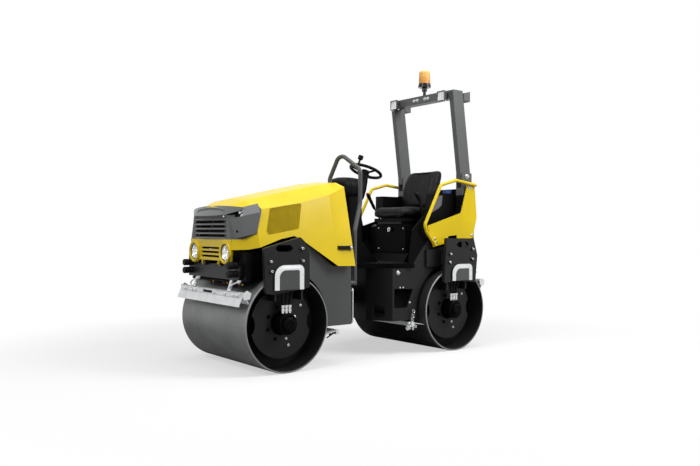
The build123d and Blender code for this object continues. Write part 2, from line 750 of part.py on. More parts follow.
rear_side_shares = [
    (-0.241, 0.407), (-0.241, 1.017), (-0.489, 1.017), (-0.489, 1.041), (-0.595, 1.206),
    (-0.702, 1.347), (-0.765, 1.257), (-1.129, 1.257), (-1.165, 1.071), (-1.353, 1.071),
    (-1.353, 1.0), (-1.0, 0.857), (-0.588, 0.5), (-0.565, 0.407),
]
recess_shares = [(-0.261, 0.783), (-0.502, 0.771), (-0.426, 0.554), (-0.261, 0.557)]
floor_back_x = half_base * -0.565
doorway_middle = half_width * 0.61
doorway_half = 50
doorway_top = drum_diameter * 0.531
step_beam_x = (half_base * -0.894, half_base * -0.665)
step_beam_y = (half_width * 0.81, half_width * 0.88)
step_beam_z = (drum_diameter * 1.029, drum_diameter * 1.231)
with BuildPart() as rear_frame:
    for side in (1, -1):
        pair = sorted((side * rear_half_width, side * (rear_half_width - plate_thickness)))
        side_slab(side_points(rear_side_shares), pair[0], pair[1])
    outer = [
        (wall_corner_x, rear_half_width), (wall_front_x, wall_front_half), (wall_front_x, -wall_front_half),
        (wall_corner_x, -rear_half_width),
    ]
    inner = [(x - plate_thickness, y) for x, y in reversed(outer)]
    plan_slab(outer + inner, rear_low, platform_low)
    floor = outer + [(floor_back_x, -rear_half_width), (floor_back_x, rear_half_width)]
    plan_slab(floor, rear_low, rear_low + plate_thickness)
    wall_opening_z = (joint_height - wall_opening_rise, joint_height + wall_opening_rise)
    block((wall_front_x - plate_thickness, wall_front_x), wall_opening_y, wall_opening_z, Mode.SUBTRACT)
    side_slab(side_points(recess_shares), -half_width, half_width, 0, Mode.SUBTRACT)
    for middle in (doorway_middle, -doorway_middle):
        x_pair = (wall_corner_x - plate_thickness, wall_front_x)
        door_pair = (middle - doorway_half, middle + doorway_half)
        block(x_pair, door_pair, (rear_low + plate_thickness, doorway_top), Mode.SUBTRACT)
        rod((x_pair[0], middle, doorway_top), (x_pair[1], middle, doorway_top), doorway_half, Mode.SUBTRACT)
    bearing_end = wall_front_x - bearing_length
    rod((bearing_end, 0, joint_height), (wall_front_x, 0, joint_height), bearing_radius)
    for y in (-bearing_radius, bearing_radius - plate_thickness):
        block((bearing_end, wall_front_x), (y, y + plate_thickness), (rear_low, joint_height))
    bore_radius = bearing_shaft_radius + pivot_gap
    rod((bearing_end - cut_overrun, 0, joint_height), (0, 0, joint_height), bore_radius, Mode.SUBTRACT)
    deck_pair = (rear_deck_top - plate_thickness, rear_deck_top)
    block(rear_deck_x, (-rear_half_width, rear_half_width), deck_pair)
    for side in (1, -1):
        pair = sorted((side * step_beam_y[0], side * step_beam_y[1]))
        block(step_beam_x, pair, step_beam_z)
        pair = sorted((side * rear_half_width, side * leg_face))
        web_pair = (-half_base - web_half_width, -half_base + web_half_width)
        block(web_pair, pair, (deck_height, deck_height + beam_height))
    arch(-half_base, arch_radius, half_width + cut_overrun)
save(rear_frame, "rear_frame")

# Inner scrapers, low between the drums, hung under the frames' floors
inner_blade_z = (drum_diameter * 0.343, drum_diameter * 0.374)
inner_bar_z = (drum_diameter * 0.34, drum_diameter * 0.386)
inner_blade_half = half_width * 0.94
inner_reach = 120
inner_arm_y = half_width * 0.6
for axle, x_axle in axles:
    facing = -1 if x_axle > 0 else 1
    drop = axle_height - inner_blade_z[0]
    foot_x = x_axle + facing * (sqrt(drum_radius ** 2 - drop ** 2) + blade_gap)
    end_x = foot_x + facing * inner_reach
    floor_low = frame_low if x_axle > 0 else rear_low
    with BuildPart() as inner:
        outline = [
            (foot_x, inner_blade_z[0]), (end_x, inner_blade_z[1]), (end_x, inner_blade_z[1] + blade_thickness),
            (foot_x + facing * blade_thickness, inner_blade_z[0] + blade_thickness),
        ]
        side_slab(outline, -inner_blade_half, inner_blade_half)
        bar_pair = sorted((end_x - facing * blade_thickness, end_x + facing * bar_depth))
        block(bar_pair, (-inner_blade_half, inner_blade_half), inner_bar_z)
        for y in (inner_arm_y, -inner_arm_y):
            block(bar_pair, (y - arm_width / 2, y + arm_width / 2), (inner_bar_z[0], floor_low - seat_gap))
    save(inner, f"{axle}_inner_scraper")

# Rear cross plate with the tow eye, and the rear scraper
rear_plate_x = rear_deck_x[0]
tow_eye_radius = 40
tow_bore_radius = 15
tow_reach = 65
tow_rise = 5
tow_thickness = 25
with BuildPart() as rear_plate:
    plate_back = rear_plate_x - front_plate_thickness
    tow_eye_x = rear_plate_x - tow_reach
    tow_height = deck_height + tow_rise
    front_slab(front_points(front_plate_shares), plate_back, rear_plate_x)
    block((tow_eye_x, plate_back), (-tow_eye_radius, tow_eye_radius), (tow_height, tow_height + tow_thickness))
    rod((tow_eye_x, 0, tow_height), (tow_eye_x, 0, tow_height + tow_thickness), tow_eye_radius)
    rod((tow_eye_x, 0, 0), (tow_eye_x, 0, tow_height + cut_overrun), tow_bore_radius, Mode.SUBTRACT)
save(rear_plate, "rear_cross_plate")

with BuildPart() as rear_scraper:
    scraper(-half_base, -1, rear_plate_x - front_plate_thickness / 2, plate_low)
save(rear_scraper, "rear_scraper")

# Platform: floor with angled front corners, side cheeks, knee plates and the kick plate
floor_shares = [
    (0.059, 0.29), (-0.459, 0.91), (-0.488, 0.91), (-0.488, 0.809), (-0.651, 0.809),
    (-0.651, -0.809), (-0.488, -0.809), (-0.488, -0.91), (-0.459, -0.91), (0.059, -0.29),
]
cheek_shares = [
    (-0.441, 1.07), (-0.492, 1.467), (-0.638, 1.623), (-0.702, 1.347), (-0.595, 1.206), (-0.506, 1.07),
]
platform_half = half_width * 0.84
kick_shares = [(-0.576, 1.07), (-0.645, 1.18), (-0.651, 1.18), (-0.651, 1.07)]
kick_half = half_width * 0.46
knee_shares = [(0.035, 1.069), (0.035, 1.429), (-0.094, 1.371), (-0.329, 1.069)]
knee_y = half_width * 0.3
with BuildPart() as platform:
    plan_slab(plan_points(floor_shares), platform_low, platform_top)
    for side in (1, -1):
        pair = sorted((side * platform_half, side * (platform_half - plate_thickness)))
        side_slab(side_points(cheek_shares), pair[0], pair[1])
        pair = sorted((side * knee_y, side * (knee_y - plate_thickness)))
        side_slab(side_points(knee_shares), pair[0], pair[1])
    side_slab(side_points(kick_shares), -kick_half, kick_half)
save(platform, "platform")

# Seat box, hollow, with a cover in front that drops on the hinge along its lower edge
box_wall = 6
box_front = half_base * -0.6529
box_back = half_base * -1.094
box_half = half_width * 0.42
box_height = 330
box_top = platform_top + box_height
cover_margin = 15
cover_lift = 88
cover_drop_from_top = 20
cover_low = platform_top + cover_lift
cover_high = box_top - cover_drop_from_top
cover_half = box_half - cover_margin
cover_thickness = 8
cover_hinge_radius = 6
lock_height = 30
lock_radius = 16
lock_length = 16
with BuildPart() as seat_box:
    block((box_back, box_front), (-box_half, box_half), (platform_top, box_top))
    hollow_y = box_half - box_wall
    hollow_z = (platform_top + box_wall, box_top - box_wall)
    block((box_back + box_wall, box_front - box_wall), (-hollow_y, hollow_y), hollow_z, Mode.SUBTRACT)
    mouth_y = cover_half - box_wall
    mouth_z = (cover_low + box_wall, cover_high - box_wall)
    block((box_front - box_wall, box_front), (-mouth_y, mouth_y), mouth_z, Mode.SUBTRACT)
save(seat_box, "seat_box")

with BuildPart() as cover:
    cover_face = box_front + pivot_gap + cover_thickness
    block((box_front + pivot_gap, cover_face), (-cover_half, cover_half), (cover_low, cover_high))
    hinge_line = box_front + pivot_gap + cover_hinge_radius
    rod((hinge_line, -cover_half, cover_low), (hinge_line, cover_half, cover_low), cover_hinge_radius)
    lock_z = cover_high - lock_height
    rod((cover_face, 0, lock_z), (cover_face + lock_length, 0, lock_z), lock_radius)
save(cover, "seat_box_cover")

# Seat: rails on the box, a pan with a strut behind it, the fore-and-aft lever, and the two pads
seat_half = 225
seat_corner = 18
rail_thickness = 20
rail_low = box_top + seat_gap
rail_high = rail_low + rail_thickness
seat_rail_y = (125, 155)
rail_x = (half_base * -1.065, half_base * -0.621)
handle_depth = 12
pan_x = (half_base * -1.082, half_base * -0.606)
pan_half = 190
pan_thickness = 28
pan_low = rail_high + seat_gap
pan_top = pan_low + pan_thickness
strut_x = (half_base * -1.061, half_base * -1.041)
strut_half = 120
strut_height = 105
cushion_low = pan_top + seat_gap
back_low = pan_top + strut_height + seat_gap
# Seat outlines: x in half wheelbases, z in cushion thicknesses and in backrest heights
cushion_thickness = 116
backrest_height = 345
cushion_shares = [(-0.588, 0), (-0.579, 0.7), (-0.614, 1), (-0.824, 0.86), (-1.012, 0.8), (-1.035, 0)]
back_shares = [
    (-1.0, 0), (-1.033, 0.5), (-1.076, 0.97), (-1.112, 1), (-1.159, 0.98), (-1.139, 0.48), (-1.088, 0),
]
lever_y = 262
lever_foot_x = half_base * -0.812
lever_bend_x = half_base * -0.758
lever_tip_x = half_base * -0.706
lever_bend_rise = 171
lever_tip_rise = 225
lever_rod_radius = 7
lever_grip_radius = 13


def seat_points(shares, low, height):
    """Outline points of a pad that stands on a level and has a height of its own."""
    return [(half_base * x, low + height * z) for x, z in shares]


with BuildPart() as seat_rails:
    for side in (1, -1):
        block(rail_x, sorted((side * seat_rail_y[0], side * seat_rail_y[1])), (rail_low, rail_high))
    block((rail_x[1] - handle_depth, rail_x[1]), (-seat_rail_y[1], seat_rail_y[1]), (rail_low, rail_high))
save(seat_rails, "seat_rails")
with BuildPart() as seat_frame:
    block(pan_x, (-pan_half, pan_half), (pan_low, pan_top))
    block(strut_x, (-strut_half, strut_half), (pan_low, pan_top + strut_height))
    foot = (lever_foot_x, lever_y, pan_low + pan_thickness / 2)
    bend = (lever_bend_x, lever_y, foot[2] + lever_bend_rise)
    tip = (lever_tip_x, lever_y, foot[2] + lever_tip_rise)
    foot_pair = (foot[2] - lever_rod_radius, foot[2] + lever_rod_radius)
    block((foot[0] - lever_grip_radius, foot[0] + lever_grip_radius), (0, lever_y), foot_pair)
    rod(foot, bend, lever_rod_radius)
    rod(bend, tip, lever_grip_radius)
save(seat_frame, "seat_frame")
with BuildPart() as cushion:
    side_slab(seat_points(cushion_shares, cushion_low, cushion_thickness), -seat_half, seat_half, seat_corner)
save(cushion, "seat_cushion")
with BuildPart() as backrest:
    side_slab(seat_points(back_shares, back_low, backrest_height), -seat_half, seat_half, seat_corner)
save(backrest, "seat_backrest")

# Right console: its housing beside the seat box, an open tray above it and the travel lever
console_pair = (half_width * -0.65, half_width * -0.48)
console_shares = [(-0.694, 1.072), (-0.694, 1.514), (-0.753, 1.543), (-1.059, 1.543), (-1.059, 1.072)]
tray_x = (half_base * -1.081, half_base * -0.776)
tray_y = (half_width * -0.69, half_width * -0.486)
tray_z = (drum_diameter * 1.643, drum_diameter * 1.907)
tray_wall = 6
tray_foot_x = (half_base * -1.076, half_base * -0.859)
console_top = drum_diameter * 1.543
foot_overlap = 10
travel_y = half_width * -0.564
travel_boot_x = half_base * -0.788
travel_grip_x = half_base * -0.686
travel_end_x = half_base * -0.588
travel_boot_height = 28
travel_grip_low = drum_diameter * 1.764
travel_grip_high = drum_diameter * 1.954
travel_boot_radius = 22
travel_grip_radius = 17
with BuildPart() as side_console:
    side_slab(side_points(console_shares), console_pair[0], console_pair[1])
    block(tray_x, tray_y, tray_z)
    hollow_x = (tray_x[0] + tray_wall, tray_x[1] - tray_wall)
    hollow_y = (tray_y[0] + tray_wall, tray_y[1] - tray_wall)
    block(hollow_x, hollow_y, (tray_z[0] + tray_wall, tray_z[1]), Mode.SUBTRACT)
    block(tray_foot_x, console_pair, (console_top - foot_overlap, tray_z[0]))
save(side_console, "side_console")
with BuildPart() as travel_lever:
    boot_top = console_top + travel_boot_height
    rod((travel_boot_x, travel_y, console_top), (travel_boot_x, travel_y, boot_top), travel_boot_radius)
    grip_start = (travel_grip_x, travel_y, travel_grip_low)
    rod((travel_boot_x, travel_y, boot_top - lever_rod_radius), grip_start, lever_rod_radius)
    rod(grip_start, (travel_end_x, travel_y, travel_grip_high), travel_grip_radius)
save(travel_lever, "travel_lever")

# Steering console: a tapered column with a rounded instrument pod, and the wheel on its shaft
pod_shares = [
    (0.041, 1.857), (0.045, 2.029), (-0.012, 2.114), (-0.106, 2.117),
    (-0.194, 2.04), (-0.176, 1.929), (-0.071, 1.811),
]
pod_corner = 22
pod_half = half_width * 0.21
pod_round = 18
column_half = half_width * 0.16
column_shares = [(0.029, 1.072), (0.029, 1.871), (-0.065, 1.871), (-0.082, 1.072)]
wheel_x = half_base * -0.3059
wheel_z = drum_diameter * 2.1857
wheel_tilt = 22
wheel_radius = 148
wheel_rim = 13
rim_sides = 16
hub_radius = 34
hub_height = 45
hub_rise = 5
spoke_radius = 9
spoke_drop = 20
knob_rise = 50
knob_height = 30
knob_radius = 22
shaft_radius = 26
column_reach = 135
collar_shares = [(-0.261, 2.057), (-0.153, 2.079), (-0.153, 1.979), (-0.241, 2.0)]
knob_angle = 20
tilt_cos = cos(radians(wheel_tilt))
tilt_sin = sin(radians(wheel_tilt))
wheel_plane = Plane(origin=(wheel_x, 0, wheel_z), x_dir=(tilt_cos, 0, tilt_sin), z_dir=(-tilt_sin, 0, tilt_cos))


def on_wheel(x, y, z):
    """A point in the steering wheel's own frame."""
    return tuple(wheel_plane.from_local_coords((x, y, z)))


with BuildPart() as wheel:
    rim_reach = wheel_radius - wheel_rim
    with BuildSketch(Plane(origin=on_wheel(rim_reach, 0, 0), x_dir=wheel_plane.x_dir, z_dir=wheel_plane.y_dir)):
        RegularPolygon(wheel_rim, rim_sides)
    revolve(axis=Axis(on_wheel(0, 0, 0), tuple(wheel_plane.z_dir)))
    rod(on_wheel(0, 0, hub_rise - hub_height), on_wheel(0, 0, hub_rise), hub_radius)
    for angle in (90, 210, 330):
        turn = radians(angle)
        spoke_end = on_wheel(rim_reach * cos(turn), rim_reach * sin(turn), 0)
        rod(on_wheel(0, 0, -spoke_drop), spoke_end, spoke_radius)
    knob_x = rim_reach * cos(radians(knob_angle))
    knob_y = rim_reach * sin(radians(knob_angle))
    rod(on_wheel(knob_x, knob_y, -wheel_rim / 2), on_wheel(knob_x, knob_y, knob_rise), spoke_radius)
    rod(on_wheel(knob_x, knob_y, knob_rise), on_wheel(knob_x, knob_y, knob_rise + knob_height), knob_radius)
save(wheel, "steering_wheel")

with BuildPart() as pod:
    side_slab(side_points(pod_shares), -pod_half, pod_half, pod_corner)
    pod_ends = pod.faces().filter_by(Axis.Y)
    fillet(pod_ends.edges(), pod_round)
with BuildPart() as console:
    side_slab(side_points(column_shares), -column_half, column_half)
    add(pod.part)
    rod(on_wheel(0, 0, hub_rise - hub_height - pivot_gap), on_wheel(0, 0, -column_reach), shaft_radius)
    side_slab(side_points(collar_shares), -shaft_radius, shaft_radius)
save(console, "steering_console")

# Rear body: yellow side panels, the cover across the back and the handrails
panel_thickness = 8
panel_low = half_width * 0.874
panel_shares = [
    (-1.339, 2.037), (-1.233, 2.041), (-1.139, 1.681), (-0.668, 1.516), (-0.752, 1.264), (-0.933, 1.31),
    (-0.96, 1.396), (-1.075, 1.407), (-1.091, 1.333), (-1.312, 1.37), (-1.372, 1.623),
]
with BuildPart() as panels:
    for side in (1, -1):
        pair = sorted((side * panel_low, side * (panel_low + panel_thickness)))
        side_slab(side_points(panel_shares), pair[0], pair[1])
save(panels, "rear_panels")

rear_cover_shares = [(-0.874, 1.3), (-0.874, 2.0), (0.874, 2.0), (0.874, 1.3)]
rear_cover_x = half_base * -1.344
with BuildPart() as rear_cover:
    front_slab(front_points(rear_cover_shares), rear_cover_x, rear_cover_x + panel_thickness)
save(rear_cover, "rear_cover")

hand_radius = 14
hand_bend = 40
rail_y = panel_low + panel_thickness + hand_radius + seat_gap
hand_shares = [
    (-1.339, 2.034), (-1.042, 2.08), (-0.831, 2.013), (-0.614, 1.527), (-0.641, 1.444), (-0.759, 1.284),
]
with BuildPart() as handrails:
    bent_tube([(x, rail_y, z) for x, z in side_points(hand_shares)], hand_bend, hand_radius)
    mirror(about=Plane.XZ)
save(handrails, "handrails")

# Water tank: a block behind the seat with two arms that reach forward beside it, and the filler cap
tank_arm_shares = [(-0.829, 1.286), (-0.829, 1.657), (-0.876, 1.921), (-1.094, 1.921), (-1.094, 1.286)]
tank_arm_y = (half_width * 0.502, half_width * 0.67)
tank_side_shares = [(-0.753, 1.286), (-0.753, 1.543), (-0.888, 1.921), (-1.094, 1.921), (-1.094, 1.286)]
tank_side_y = (half_width * 0.57, half_width * 0.67)
tank_shares = [(-1.082, 1.072), (-1.082, 1.929), (-1.294, 1.929), (-1.329, 1.072)]
tank_notch_shares = [(-1.059, 1.0), (-1.059, 2.0), (-1.188, 2.0), (-1.188, 1.0)]
tank_half = half_width * 0.67
tank_notch_half = half_width * 0.5
tank_corner = 20
tank_arm_corner = 8
filler_x = half_base * -1.118
filler_y = half_width * 0.584
filler_low = drum_diameter * 1.929
filler_radius = 40
filler_height = 32
with BuildPart() as tank:
    side_slab(side_points(tank_shares), -tank_half, tank_half, tank_corner)
    side_slab(side_points(tank_notch_shares), -tank_notch_half, tank_notch_half, 0, Mode.SUBTRACT)
    side_slab(side_points(tank_arm_shares), tank_arm_y[0], tank_arm_y[1], tank_arm_corner)
    side_slab(side_points(tank_side_shares), tank_side_y[0], tank_side_y[1], tank_arm_corner)
save(tank, "water_tank")
with BuildPart() as filler:
    rod((filler_x, filler_y, filler_low), (filler_x, filler_y, filler_low + filler_height), filler_radius)
save(filler, "tank_cap")

# Roll-over bar: two brackets on the deck, and the bar on their pins, which folds to the rear
hinge_x = half_base * -1.2529
hinge_z = drum_diameter * 2.1429
post_y = half_width * 0.77
post_half = 25
post_corner = 10
hinge_pin_radius = 12
hinge_pin_end = 20
ear_thickness = 10
ear_gap = 2
ear_outside = 1
pad_height = 40
pad_z_shares = (1.429, 1.914)
pad_x = (half_base * -1.3, half_base * -1.247)
ear_shares = [(-1.324, 1.072), (-1.324, 2.186), (-1.182, 2.186), (-1.182, 1.072)]
stand_shares = [(-1.324, 1.072), (-1.324, 2.0), (-1.182, 2.0), (-1.182, 1.072)]
post_shares = [(-1.326, 2.086), (-1.198, 3.214), (-1.052, 3.214), (-1.18, 2.086)]
crossbar_x = (half_base * -1.165, half_base * -1.065)
crossbar_z = (drum_diameter * 3.114, drum_diameter * 3.214)
with BuildPart() as brackets:
    for side in (1, -1):
        inside = post_y - post_half - ear_gap
        outside = post_y + post_half + ear_outside
        for y in (inside - ear_thickness, outside):
            pair = sorted((side * y, side * (y + ear_thickness)))
            side_slab(side_points(ear_shares), pair[0], pair[1], ear_thickness)
        pair = sorted((side * inside, side * outside))
        side_slab(side_points(stand_shares), pair[0], pair[1])
        pin = sorted((side * (post_y - post_half - hinge_pin_end), side * (post_y + post_half + hinge_pin_end)))
        rod((hinge_x, pin[0], hinge_z), (hinge_x, pin[1], hinge_z), hinge_pin_radius)
        pad = sorted((side * outside, side * (panel_low - seat_gap)))
        for share in pad_z_shares:
            pad_low = drum_diameter * share
            block(pad_x, pad, (pad_low, pad_low + pad_height))
save(brackets, "rops_brackets")
with BuildPart() as rops:
    for side in (1, -1):
        pair = sorted((side * (post_y - post_half), side * (post_y + post_half)))
        side_slab(side_points(post_shares), pair[0], pair[1], post_corner)
    block(crossbar_x, (-post_y, post_y), crossbar_z)
    pin_ends = [(hinge_x, end * half_width, hinge_z) for end in (-1, 1)]
    rod(*pin_ends, hinge_pin_radius + pivot_gap, Mode.SUBTRACT)
save(rops, "rops_bar")

# Work lamps: tapered housings with an open rim, two on the crossbar's front and two behind the posts
lamp_length = 62
lamp_back_half = 30
lamp_front_half = 44
lamp_rim = 5
lamp_bowl = 12
lamp_z = drum_diameter * 3.143
# Columns: back face x, middle y, way it faces
lamp_places = (
    (crossbar_x[1], half_width * 0.624, 1),
    (crossbar_x[1], half_width * -0.624, 1),
    (half_base * -1.211, half_width * 0.77, -1),
    (half_base * -1.211, half_width * -0.77, -1),
)
with BuildPart() as work_lamps:
    for x_back, y_middle, facing in lamp_places:
        back_plane = Plane(origin=(x_back, y_middle, lamp_z), x_dir=(0, 1, 0), z_dir=(facing, 0, 0))
        with BuildSketch(back_plane) as back:
            Rectangle(2 * lamp_back_half, 2 * lamp_back_half)
        with BuildSketch(back_plane.offset(lamp_length - lamp_bowl)) as front:
            Rectangle(2 * lamp_front_half, 2 * lamp_front_half)
        loft([back.sketch, front.sketch])
        extrude(front.sketch, amount=lamp_bowl)
        with BuildSketch(back_plane.offset(lamp_length - lamp_bowl)) as mouth:
            Rectangle(2 * (lamp_front_half - lamp_rim), 2 * (lamp_front_half - lamp_rim))
        extrude(mouth.sketch, amount=lamp_bowl, mode=Mode.SUBTRACT)
save(work_lamps, "work_lamps")

# Beacon: an amber dome on a round base, with a knuckle and a stalk on the crossbar
beacon_x = (crossbar_x[0] + crossbar_x[1]) / 2
stalk_radius = 14
stalk_height = 45
knuckle_height = 35
beacon_knuckle_radius = 24
beacon_base_radius = 58
beacon_base_height = 22
dome_radius = 54
dome_top_radius = 50
dome_height = 130
dome_round = 24
with BuildPart() as beacon:
    base_low = stalk_height + knuckle_height
    dome_low = base_low + beacon_base_height
    side_top = dome_low + dome_height - dome_round
    arc_radius = dome_top_radius - dome_round
    arc_middle = (arc_radius + dome_round * cos(radians(45)), side_top + dome_round * sin(radians(45)))
    with BuildSketch(Plane(origin=(beacon_x, 0, crossbar_z[1]), x_dir=(1, 0, 0), z_dir=(0, -1, 0))):
        with BuildLine():
            Polyline(
                (arc_radius, dome_low + dome_height), (0, dome_low + dome_height), (0, 0), (stalk_radius, 0),
                (stalk_radius, stalk_height), (beacon_knuckle_radius, stalk_height),
                (beacon_knuckle_radius, base_low), (beacon_base_radius, base_low),
                (beacon_base_radius, dome_low), (dome_radius, dome_low), (dome_top_radius, side_top),
            )
            ThreePointArc((dome_top_radius, side_top), arc_middle, (arc_radius, dome_low + dome_height))
        make_face()
    revolve(axis=Axis((beacon_x, 0, 0), (0, 0, 1)))
save(beacon, "beacon")
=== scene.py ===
"""Looks of a small articulated tandem roller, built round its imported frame. Metres, in the frame's own axes."""
import math

import bmesh
import bpy
from mathutils import Matrix, Vector


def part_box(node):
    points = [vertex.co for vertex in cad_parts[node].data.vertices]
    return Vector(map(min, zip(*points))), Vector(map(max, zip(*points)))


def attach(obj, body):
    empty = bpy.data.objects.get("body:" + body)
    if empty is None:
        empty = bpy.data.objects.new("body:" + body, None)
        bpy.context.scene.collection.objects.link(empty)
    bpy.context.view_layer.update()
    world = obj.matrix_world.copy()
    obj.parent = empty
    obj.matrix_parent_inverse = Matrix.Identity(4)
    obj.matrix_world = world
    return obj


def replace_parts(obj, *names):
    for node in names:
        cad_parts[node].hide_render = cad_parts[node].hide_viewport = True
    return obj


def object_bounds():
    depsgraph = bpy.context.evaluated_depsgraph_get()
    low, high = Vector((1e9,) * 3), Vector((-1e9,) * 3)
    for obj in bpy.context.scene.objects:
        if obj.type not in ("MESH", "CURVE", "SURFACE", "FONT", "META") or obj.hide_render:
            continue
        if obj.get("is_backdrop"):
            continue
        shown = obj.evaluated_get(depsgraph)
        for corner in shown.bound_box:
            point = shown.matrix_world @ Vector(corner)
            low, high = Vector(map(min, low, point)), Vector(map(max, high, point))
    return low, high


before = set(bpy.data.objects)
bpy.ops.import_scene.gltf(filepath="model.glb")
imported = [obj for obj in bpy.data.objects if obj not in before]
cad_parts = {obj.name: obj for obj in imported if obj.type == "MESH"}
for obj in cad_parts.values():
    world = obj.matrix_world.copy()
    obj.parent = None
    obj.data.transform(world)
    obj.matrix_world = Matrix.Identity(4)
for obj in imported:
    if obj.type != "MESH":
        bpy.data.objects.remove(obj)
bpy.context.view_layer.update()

scene = bpy.context.scene


# Drums: rolled steel shells, ground bright on the rolling face and painted black inside.
# Their faces carry fine lines round the roll, scuffs, and a bare worn edge at each rim.
# The shading class and the finish call start here, with the first piece that needs them.
class Socket:
    """One output of a material's nodes, so that shader maths reads as arithmetic."""

    def __init__(self, shader, out):
        self.shader = shader
        self.out = out

    def maths(self, operation, other, swapped=False):
        coloured = self.out.type in ("VECTOR", "RGBA")
        pair = (other, self) if swapped else (self, other)
        if coloured:
            pair = [value if isinstance(value, Socket) or hasattr(value, "__len__") else (value,) * 3 for value in pair]
        kind = "VectorMath" if coloured else "Math"
        return self.shader.node(kind, {"operation": operation}, in0=pair[0], in1=pair[1])

    def __add__(self, other):
        return self.maths("ADD", other)

    def __radd__(self, other):
        return self.maths("ADD", other, True)

    def __sub__(self, other):
        return self.maths("SUBTRACT", other)

    def __rsub__(self, other):
        return self.maths("SUBTRACT", other, True)

    def __mul__(self, other):
        return self.maths("MULTIPLY", other)

    def __rmul__(self, other):
        return self.maths("MULTIPLY", other, True)

    def __gt__(self, other):
        return self.maths("GREATER_THAN", other)

    def __lt__(self, other):
        return self.maths("LESS_THAN", other)


class Shader:
    """One finish: a material with its surface shader and the nodes that feed it."""

    def __init__(self, name, colour, roughness, metallic=0.0, **surface):
        self.material = bpy.data.materials.new(name)
        self.material.use_nodes = True
        self.tree = self.material.node_tree
        self.surface = self.tree.nodes["Principled BSDF"]
        self.colour = colour
        self.feed(Base_Color=(*colour, 1), Roughness=roughness, Metallic=metallic, **surface)
        self.place = self.node("TexCoord", out="Object")

    def node(self, kind, settings=None, out=0, **sockets):
        """A node of any kind: its settings first, then its sockets, by name or as in0, in1."""
        made = self.tree.nodes.new("ShaderNode" + kind)
        for setting, value in (settings or {}).items():
            setattr(made, setting, value)
        for socket, value in sockets.items():
            key = int(socket[2:]) if socket[:2] == "in" and socket[2:].isdigit() else socket.replace("_", " ")
            self.join(made.inputs[key], value)
        return Socket(self, made.outputs[out])

    def join(self, place, value):
        if isinstance(value, Socket):
            self.tree.links.new(value.out, place)
        else:
            place.default_value = value

    def feed(self, **sockets):
        for socket, value in sockets.items():
            self.join(self.surface.inputs[socket.replace("_", " ")], value)

    def noise(self, scale, detail=2.0, stretch=(1, 1, 1), roughness=0.5):
        """Cloudy grain, from 0 to 1, drawn out along the axes by the stretch."""
        spot = self.node("Mapping", in0=self.place, Scale=stretch)
        return self.node("TexNoise", Vector=spot, Scale=scale, Detail=detail, Roughness=roughness)

    def ramp(self, value, low, high):
        """A value eased to 0 below the low mark and to 1 above the high one."""
        settings = {"interpolation_type": "SMOOTHSTEP"}
        return self.node("MapRange", settings, Value=value, From_Min=low, From_Max=high)

    def mix(self, share, first, second):
        settings = {"data_type": "RGBA"}
        return self.node("Mix", settings, out=2, in0=share, in6=first, in7=second)

    def tint(self, factor):
        return (*[min(1, value * factor) for value in self.colour], 1)

    def bump(self, height, distance, strength=1.0):
        self.feed(Normal=self.node("Bump", Strength=strength, Distance=distance, Height=height))

    def axes(self):
        """The place on the piece along X, Y and Z."""
        parts = self.tree.nodes.new("ShaderNodeSeparateXYZ")
        self.join(parts.inputs[0], self.place)
        return [Socket(self, out) for out in parts.outputs]


def finish(shader, *names):
    """Give carried CAD nodes their finish."""
    for name in names:
        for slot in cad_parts[name].material_slots:
            slot.material = shader.material


axle_x = 0.85
axle_z = 0.35
drum_radius = 0.35
# The rear drum's steel is set far darker than the front one's, though both are the same steel: painted shade for the
# dark it sits in under the machine.
for end, x_axle, steel_tone_and_shade in (("front", axle_x, (0.21, 0.213, 0.215)), ("rear", -axle_x, (0.03, 0.0305, 0.031))):
    drum_steel_and_shade = Shader(f"{end}_drum_steel_and_shade", steel_tone_and_shade, 0.4, 0.0, Specular_IOR_Level=0.3)
    x, y, z = drum_steel_and_shade.axes()
    offset = drum_steel_and_shade.node("CombineXYZ", X=x - x_axle, Z=z - axle_z)
    reach = drum_steel_and_shade.node("VectorMath", {"operation": "LENGTH"}, out="Value", in0=offset)
    lines = drum_steel_and_shade.noise(9, 3, (1, 24, 1))
    scuffs = drum_steel_and_shade.noise(5, 5, (1.2, 0.6, 1.2))
    across = drum_steel_and_shade.node("Math", {"operation": "ABSOLUTE"}, in0=y)
    rolling = drum_steel_and_shade.ramp(reach, drum_radius - 0.004, drum_radius - 0.002)
    edge = drum_steel_and_shade.ramp(across, 0.4935, 0.4965) * drum_steel_and_shade.ramp(reach, drum_radius - 0.012, drum_radius - 0.01)
    paint = drum_steel_and_shade.mix(scuffs, (0.003, 0.003, 0.003, 1), (0.006, 0.006, 0.006, 1))
    worn = drum_steel_and_shade.ramp(scuffs * 0.6 + lines * 0.4, 0.3, 0.7)
    ground = drum_steel_and_shade.mix(worn, drum_steel_and_shade.tint(0.8), drum_steel_and_shade.tint(1.3))
    colour = drum_steel_and_shade.mix(rolling, paint, ground)
    drum_steel_and_shade.feed(Base_Color=drum_steel_and_shade.mix(edge, colour, (0.3, 0.3, 0.305, 1)))
    drum_steel_and_shade.feed(Metallic=rolling * 0.3 + edge * 0.2)
    drum_steel_and_shade.feed(Roughness=0.6 - rolling * 0.24 + scuffs * 0.1)
    drum_steel_and_shade.bump(lines * 0.5 + scuffs * 0.5, 0.0004)
    finish(drum_steel_and_shade, f"{end}_drum")

# Black frames, legs, carriers and platform: welded plate with a satin black coat,
# slightly orange-peeled, with road dust that lies on faces that look up.
dust_colour = (0.06, 0.059, 0.055, 1)


